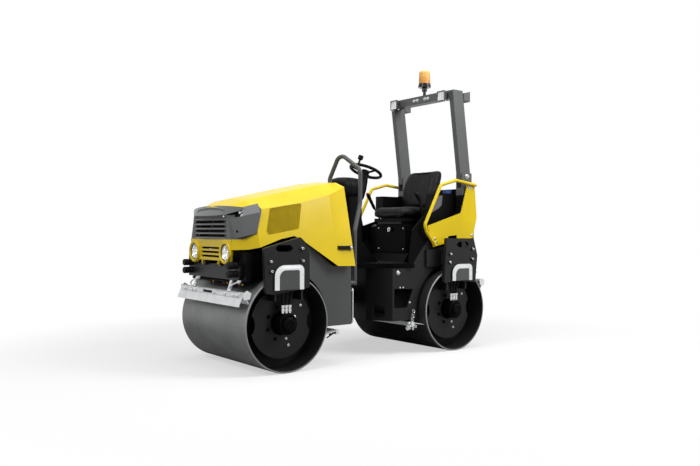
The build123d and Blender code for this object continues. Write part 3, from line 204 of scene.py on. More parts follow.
def coated(name, colour, roughness, dust, peel=0.00025, specular=0.3):
    """A sprayed coat over steel: soft waves, small changes of tone and dust on top."""
    coat = Shader(name, colour, roughness, Specular_IOR_Level=specular)
    clouds = coat.noise(3.5, 4)
    grain = coat.noise(260, 2)
    up = coat.tree.nodes.new("ShaderNodeSeparateXYZ")
    coat.join(up.inputs[0], coat.node("NewGeometry", out="Normal"))
    upward = coat.ramp(Socket(coat, up.outputs[2]), 0.4, 1.0)
    tone = coat.mix(clouds, coat.tint(0.88), coat.tint(1.14))
    settled = upward * coat.ramp(clouds, 0.35, 0.75) * dust
    coat.feed(Base_Color=coat.mix(settled, tone, dust_colour))
    coat.feed(Roughness=roughness - 0.05 + clouds * 0.08 + settled * 0.3)
    coat.bump(grain, peel, 0.35)
    return coat


# This coat for the inner parts is about five times darker than the same satin black on the legs and rear frame: partly
# painted shade for the parts deep in the machine.
black_coat_and_shade = coated("black_coat_and_shade", (0.0026, 0.0026, 0.0028), 0.42, 0.06, 0.00025, 0.04)
leg_coat = coated("leg_coat", (0.014, 0.0143, 0.0145), 0.42, 0.2, 0.00025, 0.2)
frame_coat = coated("frame_coat", (0.013, 0.0133, 0.0136), 0.42, 0.15, 0.00025, 0.2)
finish(black_coat_and_shade, "front_drives", "rear_drives", "joint_block", "steering_barrel", "engine_block", "platform")
finish(black_coat_and_shade, "seat_box", "seat_box_cover", "firewall", "front_frame")
finish(leg_coat, "front_cross_plate", "front_legs", "rear_legs", "rear_cross_plate")
finish(frame_coat, "rear_frame")


class Shape:
    """A mesh built up from turned forms, plates and bars, before it becomes a piece."""

    def __init__(self):
        self.mesh = bmesh.new()

    def skin(self, rings, closed=True):
        """Join rings of points with faces, each ring a closed loop, and cap the two ends."""
        loops = [[self.mesh.verts.new(point) for point in ring] for ring in rings]
        for first, second in zip(loops, loops[1:]):
            for number in range(len(first)):
                after = (number + 1) % len(first)
                self.mesh.faces.new((first[number], first[after], second[after], second[number]))
        if closed:
            self.mesh.faces.new(reversed(loops[0]))
            self.mesh.faces.new(loops[-1])

    def turned(self, profile, place, along=(0, 1, 0), steps=24, turn=0.0, closed=True):
        """A form turned about a line: the profile gives radius and height along it."""
        line = Vector(along).normalized()
        side = line.orthogonal().normalized()
        other = line.cross(side)
        rings = []
        for radius, height in profile:
            ring = []
            for number in range(steps):
                angle = turn + 2 * math.pi * number / steps
                ring.append(Vector(place) + line * height + radius * (math.cos(angle) * side + math.sin(angle) * other))
            rings.append(ring)
        self.skin(rings, closed)

    def bolt(self, place, along=(0, 1, 0), radius=0.008):
        """A washer and a six-sided head with a chamfered top."""
        washer = ((radius * 1.35, 0), (radius * 1.35, radius * 0.22), (radius * 1.25, radius * 0.28))
        self.turned(washer, place, along, 20)
        head = ((radius, radius * 0.28), (radius, radius * 0.95), (radius * 0.82, radius * 1.12), (radius * 0.45, radius * 1.12))
        self.turned(head, place, along, 6, radius * 90)

    def cap_screw(self, place, along=(0, 1, 0), radius=0.01):
        """A round head with a rounded edge and a sunk socket, on a flat washer."""
        self.turned(((radius * 1.5, 0), (radius * 1.5, radius * 0.25), (radius * 1.4, radius * 0.3)), place, along, 24)
        head = ((radius, radius * 0.3), (radius, radius * 1.05), (radius * 0.86, radius * 1.25))
        socket = ((radius * 0.5, radius * 1.25), (radius * 0.46, radius * 0.7))
        self.turned(head + socket, place, along, 20)

    def bar(self, start, end, radius, steps=16):
        """A round bar with softened ends."""
        start = Vector(start)
        length = (Vector(end) - start).length
        soft = radius * 0.25
        profile = ((radius - soft, 0), (radius, soft), (radius, length - soft), (radius - soft, length))
        self.turned(profile, start, Vector(end) - start, steps)

    def plate(self, outline, along, thickness):
        """A flat outline given depth."""
        push = Vector(along).normalized() * thickness
        near = [Vector(point) for point in outline]
        self.skin([near, [point + push for point in near]])

    def torus(self, place, along, radius, wire, steps=20, sides=8, stretch=1.0):
        """A round link or ring, drawn out along its own side if asked."""
        line = Vector(along).normalized()
        side = line.orthogonal().normalized()
        other = line.cross(side)
        grid = []
        for number in range(steps):
            angle = 2 * math.pi * number / steps
            out = math.cos(angle) * side * stretch + math.sin(angle) * other
            loop = []
            for step in range(sides):
                swing = 2 * math.pi * step / sides
                point = Vector(place) + out * radius + out.normalized() * wire * math.cos(swing) + line * wire * math.sin(swing)
                loop.append(self.mesh.verts.new(point))
            grid.append(loop)
        for number in range(steps):
            after = (number + 1) % steps
            for step in range(sides):
                beside = (step + 1) % sides
                self.mesh.faces.new((grid[number][step], grid[after][step], grid[after][beside], grid[number][beside]))

    def piece(self, name, shader, body, soften=0.0):
        """Turn the shape into a piece with its finish, riding on a body."""
        bmesh.ops.recalc_face_normals(self.mesh, faces=self.mesh.faces)
        mesh = bpy.data.meshes.new(name)
        self.mesh.to_mesh(mesh)
        self.mesh.free()
        mesh.materials.append(shader.material)
        mesh.shade_smooth()
        mesh.set_sharp_from_angle(angle=math.radians(38))
        made = bpy.data.objects.new(name, mesh)
        scene.collection.objects.link(made)
        if soften:
            edges = made.modifiers.new("soft_edges", "BEVEL")
            edges.width = soften
            edges.segments = 2
            edges.limit_method = "ANGLE"
        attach(made, body)
        return made


def hose(name, points, radius, shader, body):
    """A short fixed hose or bent bar along a smooth line."""
    line = bpy.data.curves.new(name, "CURVE")
    line.dimensions = "3D"
    line.bevel_depth = radius
    line.bevel_resolution = 4
    line.use_fill_caps = True
    run = line.splines.new("NURBS")
    run.points.add(len(points) - 1)
    for point, place in zip(run.points, points):
        point.co = (*place, 1)
    run.order_u = 3
    run.use_endpoint_u = True
    run.resolution_u = 10
    line.materials.append(shader.material)
    made = bpy.data.objects.new(name, line)
    scene.collection.objects.link(made)
    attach(made, body)
    return made


# Bright hardware: plated cap screws in the legs, bolts round each hub and carrier, and the
# three hose fittings on each motor. Each head sits on the face it clamps.
plated = Shader("plated_bolts", (0.62, 0.63, 0.64), 0.22, 0.95)
plated.feed(Roughness=0.18 + plated.noise(60, 3) * 0.16)
plated.feed(Base_Color=plated.mix(plated.noise(25, 3), plated.tint(0.8), plated.tint(1.15)))
leg_screws = {
    "front": ((0.76, 0.892), (0.755, 0.804), (1.021, 0.803), (1.015, 0.735)),
    "rear": ((-0.744, 0.826), (-0.736, 0.757), (-1.015, 0.865), (-1.007, 0.781)),
}
leg_outside = 0.548
carrier_outside = 0.41
motor_outside = 0.495
for end, x_axle in (("front", axle_x), ("rear", -axle_x)):
    screws = Shape()
    dark = Shape()
    for side in (1, -1):
        out = (0, side, 0)
        for x, z in leg_screws[end]:
            screws.cap_screw((x, side * (leg_outside - 0.0062), z), out, 0.0105)
            dark.turned(((0.0165, 0), (0.0165, 0.0012), (0.0158, 0.0018)), (x, side * leg_outside, z), out, 24)
        for number in range(8):
            angle = math.radians(26 + 45 * number)
            spot = (x_axle + 0.122 * math.cos(angle), side * carrier_outside, axle_z + 0.122 * math.sin(angle))
            if number in (3, 5):
                screws.bolt(spot, out, 0.0075)
            else:
                dark.bolt(spot, out, 0.0105)
        for x, z in ((-0.165, 0.12), (-0.06, -0.165)):
            screws.bolt((x_axle + x, side * carrier_outside, axle_z + z), out, 0.0075)
        for number in range(10):
            angle = math.radians(36 * number)
            spot = (x_axle + 0.067 * math.cos(angle), side * motor_outside, axle_z + 0.067 * math.sin(angle))
            dark.bolt(spot, out, 0.0065)
        flange = ((0.074, 0), (0.074, 0.008), (0.07, 0.012), (0.058, 0.012), (0.056, 0.004))
        dark.turned(flange, (x_axle, side * (motor_outside - 0.001), axle_z), out, 40)
        dome = ((0.05, 0), (0.05, 0.006), (0.044, 0.01), (0.03, 0.012), (0.028, 0.008), (0.01, 0.008))
        dark.turned(dome, (x_axle, side * 0.5165, axle_z), out, 32)
        for step in (-1, 0, 1):
            place = (x_axle + 0.03 * step, side * 0.473, axle_z + 0.078)
            fitting = ((0.0115, 0.0), (0.0115, 0.012), (0.0145, 0.013), (0.0145, 0.027), (0.0115, 0.028), (0.0115, 0.04))
            nut = ((0.0115, 0.04), (0.0155, 0.041), (0.0155, 0.058), (0.0125, 0.06))
            screws.turned(fitting + nut, place, (0, 0, 1), 12)
    screws.piece(f"{end}_plated_bolts", plated, f"{end}_body")
    dark.piece(f"{end}_dark_bolts", black_coat_and_shade, f"{end}_body")

# Hose runs from the fittings up behind each guard: rubber hoses held at both ends.
rubber = Shader("black_rubber", (0.005, 0.005, 0.005), 0.6, Specular_IOR_Level=0.15)
rubber.bump(rubber.noise(420, 3), 0.0003, 0.5)
rubber.feed(Roughness=0.55 + rubber.noise(18, 3) * 0.18)
for end, x_axle in (("front", axle_x), ("rear", -axle_x)):
    for side, hand in ((1, "left"), (-1, "right")):
        for step in (-1, 0, 1):
            x = x_axle + 0.03 * step
            y = side * 0.473
            bow = 0.012 * step
            route = [(x, y, axle_z + 0.136), (x, y, 0.53), (x + bow, y + side * 0.01, 0.575), (x + bow, y + side * 0.02, 0.62)]
            hose(f"{end}_{hand}_hub_hose_{step + 2}", route, 0.0105, rubber, f"{end}_body")
finish(rubber, "front_bumpers")

# Rubber bumpers: each lug has a moulded foot, a waist and a ribbed head that takes the knock.
lug_centres = [(side * 0.349, z) for side in (1, -1) for z in (0.772, 0.712)]
lugs = Shape()
for y, z in lug_centres:
    form = ((0.0255, 0.0), (0.0255, 0.012), (0.0235, 0.016), (0.0235, 0.034), (0.0255, 0.038), (0.0255, 0.05))
    head = ((0.0235, 0.053), (0.0235, 0.057), (0.0255, 0.06), (0.0255, 0.068), (0.022, 0.0725), (0.01, 0.0728))
    lugs.turned(form + head, (1.1851, y, z), (1, 0, 0), 28)
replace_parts(lugs.piece("bumper_lugs", rubber, "front_body"), "front_bumpers")

# Hose guards: pressed covers on each leg, with a bevelled arch round a plain grey panel. The arch's bright metal finish
# stands in for the light its bevel catches: painted highlight.
# The arch's two legs run down to the cover's open lower edge, and small bolts hold its flange.
guard_arch_highlight = Shader("guard_arch_highlight", (0.74, 0.75, 0.76), 0.24, 0.92)
smears = guard_arch_highlight.noise(11, 4)
guard_arch_highlight.feed(Base_Color=guard_arch_highlight.mix(smears, guard_arch_highlight.tint(0.86), guard_arch_highlight.tint(1.1)))
guard_arch_highlight.feed(Roughness=0.2 + smears * 0.14)
guard_grey = coated("guard_grey", (0.088, 0.09, 0.091), 0.42, 0.05)
# Columns: end, low x, high x, low z, high z, then the top's fall from front to back
guard_sizes = (("front", 0.748, 0.9937, 0.5999, 0.776, 0.0), ("rear", -0.9996, -0.7599, 0.5999, 0.7395, 0.0))
# Columns: how far in from the outline, how far out from the machine's middle
arch_steps = (
    (0.0, 0.5482), (0.0, 0.5508), (0.008, 0.551), (0.011, 0.5516), (0.019, 0.5536), (0.027, 0.5548),
    (0.034, 0.5549), (0.0375, 0.554), (0.039, 0.551),
)
for end, low_x, high_x, low_z, high_z, fall in guard_sizes:
    arch = Shape()
    panel = Shape()
    studs = Shape()
    for side in (1, -1):
        rings = []
        for inset, reach in arch_steps:
            corner = 0.04 - inset * 0.6
            sweep = 0.078 - inset * 0.7
            ring = [(low_x + inset, side * reach, low_z)]
            for middle, bend, first in ((low_x + inset + corner, corner, 180), (high_x - inset - sweep, sweep, 90)):
                for step in range(9):
                    angle = math.radians(first - step * 11.25)
                    ring.append((middle + bend * math.cos(angle), side * reach, high_z - inset - bend + bend * math.sin(angle)))
            ring.append((high_x - inset, side * reach, low_z))
            rings.append(ring)
        arch.skin(rings, False)
        panel.plate([(x, side * 0.5498, z) for x, y, z in rings[-1]], (0, side, 0), 0.0012)
        for x in (low_x + 0.006, high_x - 0.006):
            for share in (0.22, 0.62):
                studs.bolt((x, side * 0.5508, low_z + share * (high_z - low_z)), (0, side, 0), 0.0032)
    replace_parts(arch.piece(f"{end}_guard_arches", guard_arch_highlight, f"{end}_body"), f"{end}_hose_guards")
    panel.piece(f"{end}_guard_panels", guard_grey, f"{end}_body")
    studs.piece(f"{end}_guard_bolts", plated, f"{end}_body")

# Grey plates: the front frame's sides, the roll-over bar and the grab rail,
# all in one mid grey coat with a fine texture.
grey_coat = coated("grey_coat", (0.088, 0.092, 0.091), 0.4, 0.1)
finish(grey_coat, "front_side_plates", "grab_rail")
post_coat = coated("post_coat", (0.112, 0.117, 0.116), 0.4, 0.05)
x, y, z = post_coat.axes()
sprayed = Socket(post_coat, post_coat.surface.inputs["Base Color"].links[0].from_socket)
post_coat.feed(Base_Color=post_coat.mix(z < 1.335, sprayed, (0.003, 0.003, 0.003, 1)))
finish(post_coat, "rops_bar", "rops_brackets")
trim_coat = Shader("seat_pan_coat", (0.0035, 0.0035, 0.0037), 0.45, Specular_IOR_Level=0.06)
x, y, z = trim_coat.axes()
trim_coat.bump(trim_coat.noise(500, 2), 0.0002, 0.4)
trim_coat.feed(Base_Color=trim_coat.mix(trim_coat.noise(6, 3), trim_coat.tint(0.8), trim_coat.tint(1.3)))
trim_coat.feed(Roughness=0.4 + trim_coat.noise(8, 3) * 0.1)
finish(trim_coat, "seat_frame")

# Nose cap: moulded grey plastic round the air slots. The hood's yellow top runs down into it and
# its lower edge climbs towards the back. A visor, faceted cheeks and slat noses stand proud of it.
cap_coat = coated("cap_plastic", (0.1, 0.103, 0.105), 0.38, 0.05, 0.0004, 0.3)
x, y, z = cap_coat.axes()
across = cap_coat.node("Math", {"operation": "ABSOLUTE"}, in0=y)
yellow_top = (across < 0.352) * (z > 1.187) + (z < 0.955 + (1.15 - x) * 0.52) * (x < 1.15)
# Across the air slots, between the slat noses, the cap is painted near black: painted shade in the slots.
painted_slot_shade = (across < 0.253) * (z > 0.962) * (z < 1.118) * (x > 1.15)
moulding = Socket(cap_coat, cap_coat.surface.inputs["Base Color"].links[0].from_socket)
paint = cap_coat.mix(painted_slot_shade, moulding, (0.002, 0.002, 0.002, 1))
cap_coat.feed(Base_Color=cap_coat.mix(yellow_top, paint, (0.83, 0.6, 0.006, 1)))
finish(cap_coat, "grille_cap")
# The parts that stand proud of the cap take a lighter copy of its grey: partly painted highlight for the light on the
# visor, cheeks and slat noses.
moulded_with_highlight = coated("moulded_grey", (0.118, 0.122, 0.124), 0.3, 0.05, 0.0003, 0.6)
nose = Shape()
for side in (1, -1):
    low = ((1.2145, 0.262, 0.9545), (1.157, 0.388, 0.972), (1.068, 0.432, 0.999), (1.055, 0.418, 1.002), (1.19, 0.26, 0.956))
    high = ((1.2125, 0.262, 1.104), (1.157, 0.388, 1.118), (1.04, 0.427, 1.149), (1.035, 0.4, 1.149), (1.185, 0.26, 1.104))
    nose.skin([[(x, side * y, z) for x, y, z in low], [(x, side * y, z) for x, y, z in high]])
    outer = ((1.157, 0.388, 1.118), (1.04, 0.427, 1.149), (1.03, 0.378, 1.213), (1.158, 0.36, 1.181))
    inner = ((1.145, 0.37, 1.118), (1.035, 0.4, 1.149), (1.03, 0.352, 1.187), (1.145, 0.345, 1.165))
    nose.skin([[(x, side * y, z) for x, y, z in outer], [(x, side * y, z) for x, y, z in inner]])
visor_line = (
    (0.372, 1.163, 1.16, 1.158, 1.184), (0.25, 1.222, 1.129, 1.182, 1.193), (0.15, 1.236, 1.125, 1.191, 1.198), (0.0, 1.24, 1.123, 1.193, 1.201),
)
sections = [(side * y, *rest) for side, rows in ((-1, visor_line), (1, visor_line[2::-1])) for y, *rest in rows]
nose.skin([[(low_x, y, low_z), (high_x, y, high_z), (high_x - 0.012, y, high_z - 0.004), (low_x - 0.016, y, low_z + 0.004)]
           for y, low_x, low_z, high_x, high_z in sections])
for z in (0.9625, 0.9965, 1.0295, 1.063, 1.0985):
    rings = []
    for number in range(13):
        y = -0.256 + 0.512 * number / 12
        front = 1.2145 + 0.009 * (1 - (y / 0.256) ** 2)
        rings.append([(front, y, z - 0.003), (front - 0.004, y, z + 0.0045), (1.204, y, z + 0.0065), (1.204, y, z - 0.005)])
    nose.skin(rings)
nose.piece("nose_mouldings", moulded_with_highlight, "hood_body", 0.0015)
# Black plates in the screw pockets and a black disc in each cheek's round hole: painted shade for these recesses.
cap_recess_shade = Shape()
cap_screws = Shape()
for side in (1, -1):
    pocket = [(1.203, side * 0.255, 1.1), (1.14, side * 0.382, 1.1), (1.138, side * 0.375, 1.172), (1.185, side * 0.255, 1.165)]
    cap_recess_shade.plate(pocket, (-1, 0, 0), 0.004)
    cap_recess_shade.turned(((0.009, 0.0), (0.009, 0.0012)), (1.1772, side * 0.3435, 1.011), (0.91, side * 0.41, 0), 24)
    cap_screws.cap_screw((1.158, side * 0.352, 1.146), (0.9, side * 0.42, 0.1), 0.0078)
    cap_screws.cap_screw((1.152, side * 0.366, 1.12), (0.9, side * 0.42, 0.1), 0.0078)
    cap_screws.bolt((1.226, side * 0.236, 1.118), (1, 0, 0.1), 0.0045)
cap_recess_shade.piece("cap_pocket_shade", black_coat_and_shade, "hood_body")
cap_screws.piece("cap_screws", plated, "hood_body")

# Dark baffle behind the slots: a ribbed plate that keeps the fan's air in its duct.
baffle = Shape()
baffle_half = 0.262
for number in range(9):
    z = 0.815 + 0.034 * number
    lean = 0.0 if number < 4 else 0.004 * (number - 3)
    outline = [(1.165 - lean, -baffle_half, z), (1.165 - lean, baffle_half, z), (1.165 - lean, baffle_half, z + 0.03), (1.165 - lean, -baffle_half, z + 0.03)]
    baffle.plate(outline, (-1, 0, 0), 0.006)
baffle.piece("slot_baffle", black_coat_and_shade, "hood_body", 0.002)

# Yellow bodywork: pressed and moulded panels in a glossy yellow coat with a clear top.
yellow_coat = coated("yellow_coat", (0.83, 0.6, 0.006), 0.36, 0.0, 0.00012, 0.1)
yellow_coat.feed(Coat_Weight=0.35, Coat_Roughness=0.2)
finish(yellow_coat, "hood", "handrails")
yellow_with_inner_shade = coated("yellow_with_painted_inner_shade", (0.83, 0.6, 0.006), 0.36, 0.0, 0.00012, 0.1)
yellow_with_inner_shade.feed(Coat_Weight=0.35, Coat_Roughness=0.2)
x, y, z = yellow_with_inner_shade.axes()
faces = yellow_with_inner_shade.tree.nodes.new("ShaderNodeSeparateXYZ")
yellow_with_inner_shade.join(faces.inputs[0], yellow_with_inner_shade.node("TexCoord", out="Normal"))
# Faces that look in towards the middle below 1.2 m, and forward faces at the very back, are painted black: painted
# shade on the insides of the panels.
inward = (y * Socket(yellow_with_inner_shade, faces.outputs[1]) < -0.1) * (z < 1.2)
forward = (Socket(yellow_with_inner_shade, faces.outputs[0]) > 0.5) * (x < -1.1)
sprayed = Socket(yellow_with_inner_shade, yellow_with_inner_shade.surface.inputs["Base Color"].links[0].from_socket)
yellow_with_inner_shade.feed(Base_Color=yellow_with_inner_shade.mix(inward + forward, sprayed, (0.003, 0.003, 0.003, 1)))
finish(yellow_with_inner_shade, "rear_panels", "rear_cover")

# Pierced side screens of the hood: yellow sheet with rows of small round holes.
hole_pitch = 0.0075
screen = Shader("pierced_screen", (0.5, 0.35, 0.004), 0.55, Specular_IOR_Level=0.1)
x, y, z = screen.axes()
rows = screen.node("Math", {"operation": "SINE"}, in0=z * (2 * math.pi / hole_pitch))
columns = screen.node("Math", {"operation": "SINE"}, in0=x * (2 * math.pi / hole_pitch))
screen.feed(Alpha=1 - (rows * columns > 0.25))
screen.feed(Base_Color=screen.mix(screen.noise(20, 3), screen.tint(0.8), screen.tint(1.15)))
finish(screen, "hood_mesh")

# Shade sheets: thin black sheets that lie just inside the pierced screens, painted shade so that the holes show dark.
screen_shade_sheet = Shader("screen_shade_sheet", (0.012, 0.011, 0.006), 0.85, Specular_IOR_Level=0.05)
screen_shade_sheet.bump(screen_shade_sheet.noise(300, 3), 0.0005, 0.6)
screen_shade_sheet.feed(Roughness=0.8 + screen_shade_sheet.noise(40, 2) * 0.15)
shade_sheets = bpy.data.objects.new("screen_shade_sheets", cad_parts["hood_mesh"].data.copy())
for vertex in shade_sheets.data.vertices:
    vertex.co.y *= 0.972
shade_sheets.data.materials.clear()
shade_sheets.data.materials.append(screen_shade_sheet.material)
scene.collection.objects.link(shade_sheets)
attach(shade_sheets, "hood_body")

# Headlamps: a deep dark bowl with a bright reflector ring, a bulb shield and a ribbed clear lens,
# held in the hood's round lobes by a raised yellow bezel.
bowl_coat = Shader("lamp_bowl", (0.02, 0.02, 0.021), 0.3, Specular_IOR_Level=0.4)
bowl_coat.feed(Roughness=0.24 + bowl_coat.noise(50, 2) * 0.12)
mirror = Shader("lamp_mirror", (0.8, 0.81, 0.82), 0.12, 0.95)
mirror.feed(Roughness=0.1 + mirror.noise(60, 2) * 0.1)
clear = Shader("clear_lens", (0.95, 0.97, 1.0), 0.05, Transmission_Weight=1.0, IOR=1.22, Alpha=0.35)
x, y, z = clear.axes()
clear.bump(clear.node("Math", {"operation": "SINE"}, in0=y * 900.0), 0.0006, 0.6)
face_x = 1.2121
bowls = Shape()
mirrors = Shape()
glass = Shape()
bezels = Shape()
for side in (1, -1):
    centre = (face_x, side * 0.243, 0.859)
    bowl = ((0.0605, 0.004), (0.0605, -0.006), (0.054, -0.018), (0.038, -0.029), (0.022, -0.0295), (0.001, -0.0296))
    bowls.turned(bowl, centre, (1, 0, 0), 40, 0, False)
    mirrors.turned(((0.057, -0.002), (0.053, -0.005), (0.045, -0.011), (0.036, -0.016), (0.03, -0.024)), centre, (1, 0, 0), 40, 0, False)
    mirrors.turned(((0.019, -0.029), (0.019, -0.014), (0.013, -0.008), (0.004, -0.006)), centre, (1, 0, 0), 28)
    lens = ((0.0585, 0.0), (0.0585, 0.003), (0.05, 0.006), (0.03, 0.008), (0.008, 0.0085))
    glass.turned(lens, centre, (1, 0, 0), 40)
    bezel = ((0.082, -0.002), (0.082, 0.008), (0.077, 0.015), (0.067, 0.016), (0.062, 0.011), (0.0605, -0.004))
    bezels.turned(bezel, centre, (1, 0, 0), 48, 0, False)
bowls_piece = bowls.piece("headlamp_bowls", bowl_coat, "hood_body")
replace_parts(bowls_piece, "headlamps")
mirrors.piece("headlamp_mirrors", mirror, "hood_body")
glass.piece("headlamp_lenses", clear, "hood_body")
bezels.piece("headlamp_bezels", yellow_coat, "hood_body")

# Zinc plated iron: scraper blades and bars, lock bar, seat rails and the steering
# cylinder's rod, spangled and a little dull.
zinc = Shader("zinc_plate", (0.84, 0.85, 0.86), 0.34, 0.45)
spangle = zinc.node("TexVoronoi", Vector=zinc.place, Scale=90)
stains = zinc.noise(14, 5)
zinc.feed(Base_Color=zinc.mix(stains, zinc.tint(0.75), zinc.tint(1.1)))
zinc.feed(Roughness=0.28 + stains * 0.2 + spangle * 0.06)
zinc.bump(stains, 0.0003, 0.4)
finish(zinc, "front_scraper", "rear_scraper", "front_inner_scraper", "rear_inner_scraper")
finish(zinc, "lock_bar", "steering_rod")
finish(frame_coat, "seat_rails")
lock_ends = Shape()
for z in (0.322, 0.558):
    lock_ends.bolt((0.218, 0.419, z), (-1, 0, 0), 0.009)
    lock_ends.bolt((0.2175, 0.419, z), (1, 0, 0), 0.009)
lock_ends.piece("lock_bar_bolts", plated, "front_body")

# Hood straps: rubber latches with a keeper at the front and a bright bolt at the rear end.
finish(rubber, "hood_straps")
latches = Shape()
keepers = Shape()
for side in (1, -1):
    out = (0, side, 0)
    latches.bolt((0.275, side * 0.4925, 0.8915), out, 0.0085)
    outline = [(0.33, side * 0.492, 0.881), (0.39, side * 0.492, 0.881), (0.394, side * 0.492, 0.9), (0.33, side * 0.492, 0.903)]
    keepers.plate(outline, out, 0.008)
latches.piece("strap_bolts", plated, "hood_body")
keepers.piece("strap_keepers", rubber, "hood_body", 0.003)

# Scraper carriers: a bent spring wire pair above each arm. The front one also has a zinc apron hung
# under its bar, a clamp rail with nuts, an open window filled by a black plate as painted shade, and a plate on each
# end.
for end, facing, x_blade in (("front", 1, 1.192), ("rear", -1, -1.192)):
    fittings = Shape()
    for y in (0.31, -0.31):
        for wire in (0, 1):
            lean = 0.013 * wire
            path = [
                (x_blade + facing * 0.012, y + lean, 0.582), (x_blade + facing * 0.018, y - 0.03 + lean, 0.6),
                (x_blade + facing * 0.018, y - 0.012 + lean, 0.63), (x_blade + facing * 0.012, y + 0.05 + lean, 0.65),
                (x_blade, y + 0.1 + lean, 0.668),
            ]
            hand = "left" if y > 0 else "right"
            hose(f"{end}_{hand}_spring_wire_{wire + 1}", path, 0.004, zinc, f"{end}_body")
        nut = ((0.012, 0.0), (0.012, 0.01), (0.009, 0.012), (0.009, 0.018))
        fittings.turned(nut, (x_blade, y + 0.095, 0.66), (facing, 0.2, 0), 20)
    for side in (1, -1):
        near = x_blade - facing * 0.03
        outline = [
            (near, side * 0.49, 0.545), (near + facing * 0.048, side * 0.49, 0.54), (near + facing * 0.05, side * 0.49, 0.585),
            (near + facing * 0.02, side * 0.49, 0.605), (near - facing * 0.012, side * 0.49, 0.585),
        ]
        fittings.plate(outline, (0, side, 0), 0.006)
    if end == "front":
        shade = Shape()
        face = 1.2152
        apron = [(face, -0.487, 0.56), (face, 0.487, 0.56), (face + 0.027, 0.487, 0.493), (face + 0.027, -0.487, 0.493)]
        fittings.plate(apron, (1, 0, 0.4), 0.003)
        for low_y, high_y in ((-0.46, -0.09), (0.065, 0.46)):
            corners = [(face, low_y, 0.558), (face, high_y, 0.558), (face, high_y, 0.581), (face, low_y, 0.581)]
            fittings.plate(corners, (1, 0, 0), 0.009)
        for z in (0.5565, 0.583):
            fittings.bar((face + 0.005, -0.46, z), (face + 0.005, 0.46, z), 0.0042, 8)
        # A black plate in the open window: painted shade.
        window = [(face, -0.09, 0.558), (face, 0.065, 0.558), (face, 0.065, 0.581), (face, -0.09, 0.581)]
        shade.plate(window, (1, 0, 0), 0.003)
        for y in (-0.385, -0.26, -0.215, 0.09, 0.25, 0.375, 0.43):
            fittings.bolt((face + 0.009, y, 0.57), (1, 0, 0.15), 0.0115)
        shade.piece("front_scraper_window_shade", black_coat_and_shade, "front_body")
    fittings.piece(f"{end}_scraper_fittings", zinc, f"{end}_body")

# Spray line: a black pipe under the front cross plate with coloured nozzle caps that point down.
red_cap = Shader("red_cap", (0.28, 0.008, 0.008), 0.4)
red_cap.bump(red_cap.noise(500, 2), 0.0002, 0.4)
red_cap.feed(Roughness=0.36 + red_cap.noise(30, 2) * 0.1)
for end, facing in (("front", 1), ("rear", -1)):
    pipe = Shape()
    caps = Shape()
    gauge = Shape()
    pipe.bar((facing * 1.15, -0.4, 0.652), (facing * 1.15, 0.4, 0.652), 0.011)
    for y in (-0.33, -0.11, 0.11, 0.33):
        pipe.turned(((0.013, -0.02), (0.013, 0.016), (0.01, 0.018)), (facing * 1.15, y, 0.652), (0, 1, 0), 16)
        pipe.bar((facing * 1.15, y, 0.652), (facing * 1.15, y, 0.668), 0.008)
        caps.turned(((0.008, 0.0), (0.008, 0.008), (0.006, 0.01), (0.006, 0.014), (0.003, 0.015)), (facing * 1.15, y, 0.643), (0, 0, -1), 14)
        gauge.turned(((0.007, 0.0), (0.007, 0.007), (0.005, 0.009), (0.003, 0.012)), (facing * 1.15, y + 0.045, 0.643), (0, 0, -1), 14)
    gauge.piece(f"{end}_spray_plugs", yellow_coat, f"{end}_body")
    pipe.piece(f"{end}_spray_line", black_coat_and_shade, f"{end}_body")
    caps.piece(f"{end}_spray_caps", red_cap, f"{end}_body")

# Rear frame's front wall: bolts above the recess and at the platform's lip, a bar in the
# doorway and the clamp and chain of the drum's inner scraper.
wall = Shape()
for side in (1, -1):
    wall.cap_screw((-0.262, side * 0.4205, 0.677), (0, side, 0), 0.012)
    for x in (-0.285, -0.318):
        wall.bolt((x, side * 0.4205, 0.556), (0, side, 0), 0.0055)
    wall.bolt((-0.39, side * 0.4205, 0.43), (0, side, 0), 0.0075)
    for number in range(7):
        turn = (1, 0.3, 0) if number % 2 else (0.3, 1, 0)
        wall.torus((-0.412 + 0.004 * number, side * 0.447, 0.36 - 0.019 * number), turn, 0.0085, 0.0028, 14, 6, 1.35)
wall.piece("rear_frame_bolts", plated, "rear_body")
clamps = Shape()
links = Shape()
for side in (1, -1):
    outline = [(-0.375, side * 0.444, 0.212), (-0.335, side * 0.444, 0.206), (-0.322, side * 0.444, 0.228), (-0.345, side * 0.444, 0.246), (-0.38, side * 0.444, 0.24)]
    clamps.plate(outline, (0, side, 0), 0.006)
    for x, z in ((-0.345, 0.232), (-0.4, 0.214), (-0.43, 0.236)):
        clamps.bolt((x, side * 0.45, z), (0, side, 0), 0.0085)
    clamps.bar((-0.44, side * 0.452, 0.222), (-0.33, side * 0.452, 0.244), 0.0045)
    clamps.torus((-0.362, side * 0.456, 0.252), (0.2, 1, 0.2), 0.012, 0.0032, 18, 8, 1.3)
    links.bolt((0.44, side * 0.446, 0.24), (0, side, 0), 0.009)
    links.bar((0.4, side * 0.45, 0.25), (0.475, side * 0.45, 0.215), 0.005)
clamps.piece("rear_scraper_clamps", plated, "rear_body")
links.piece("front_scraper_clamps", leg_coat, "front_body")

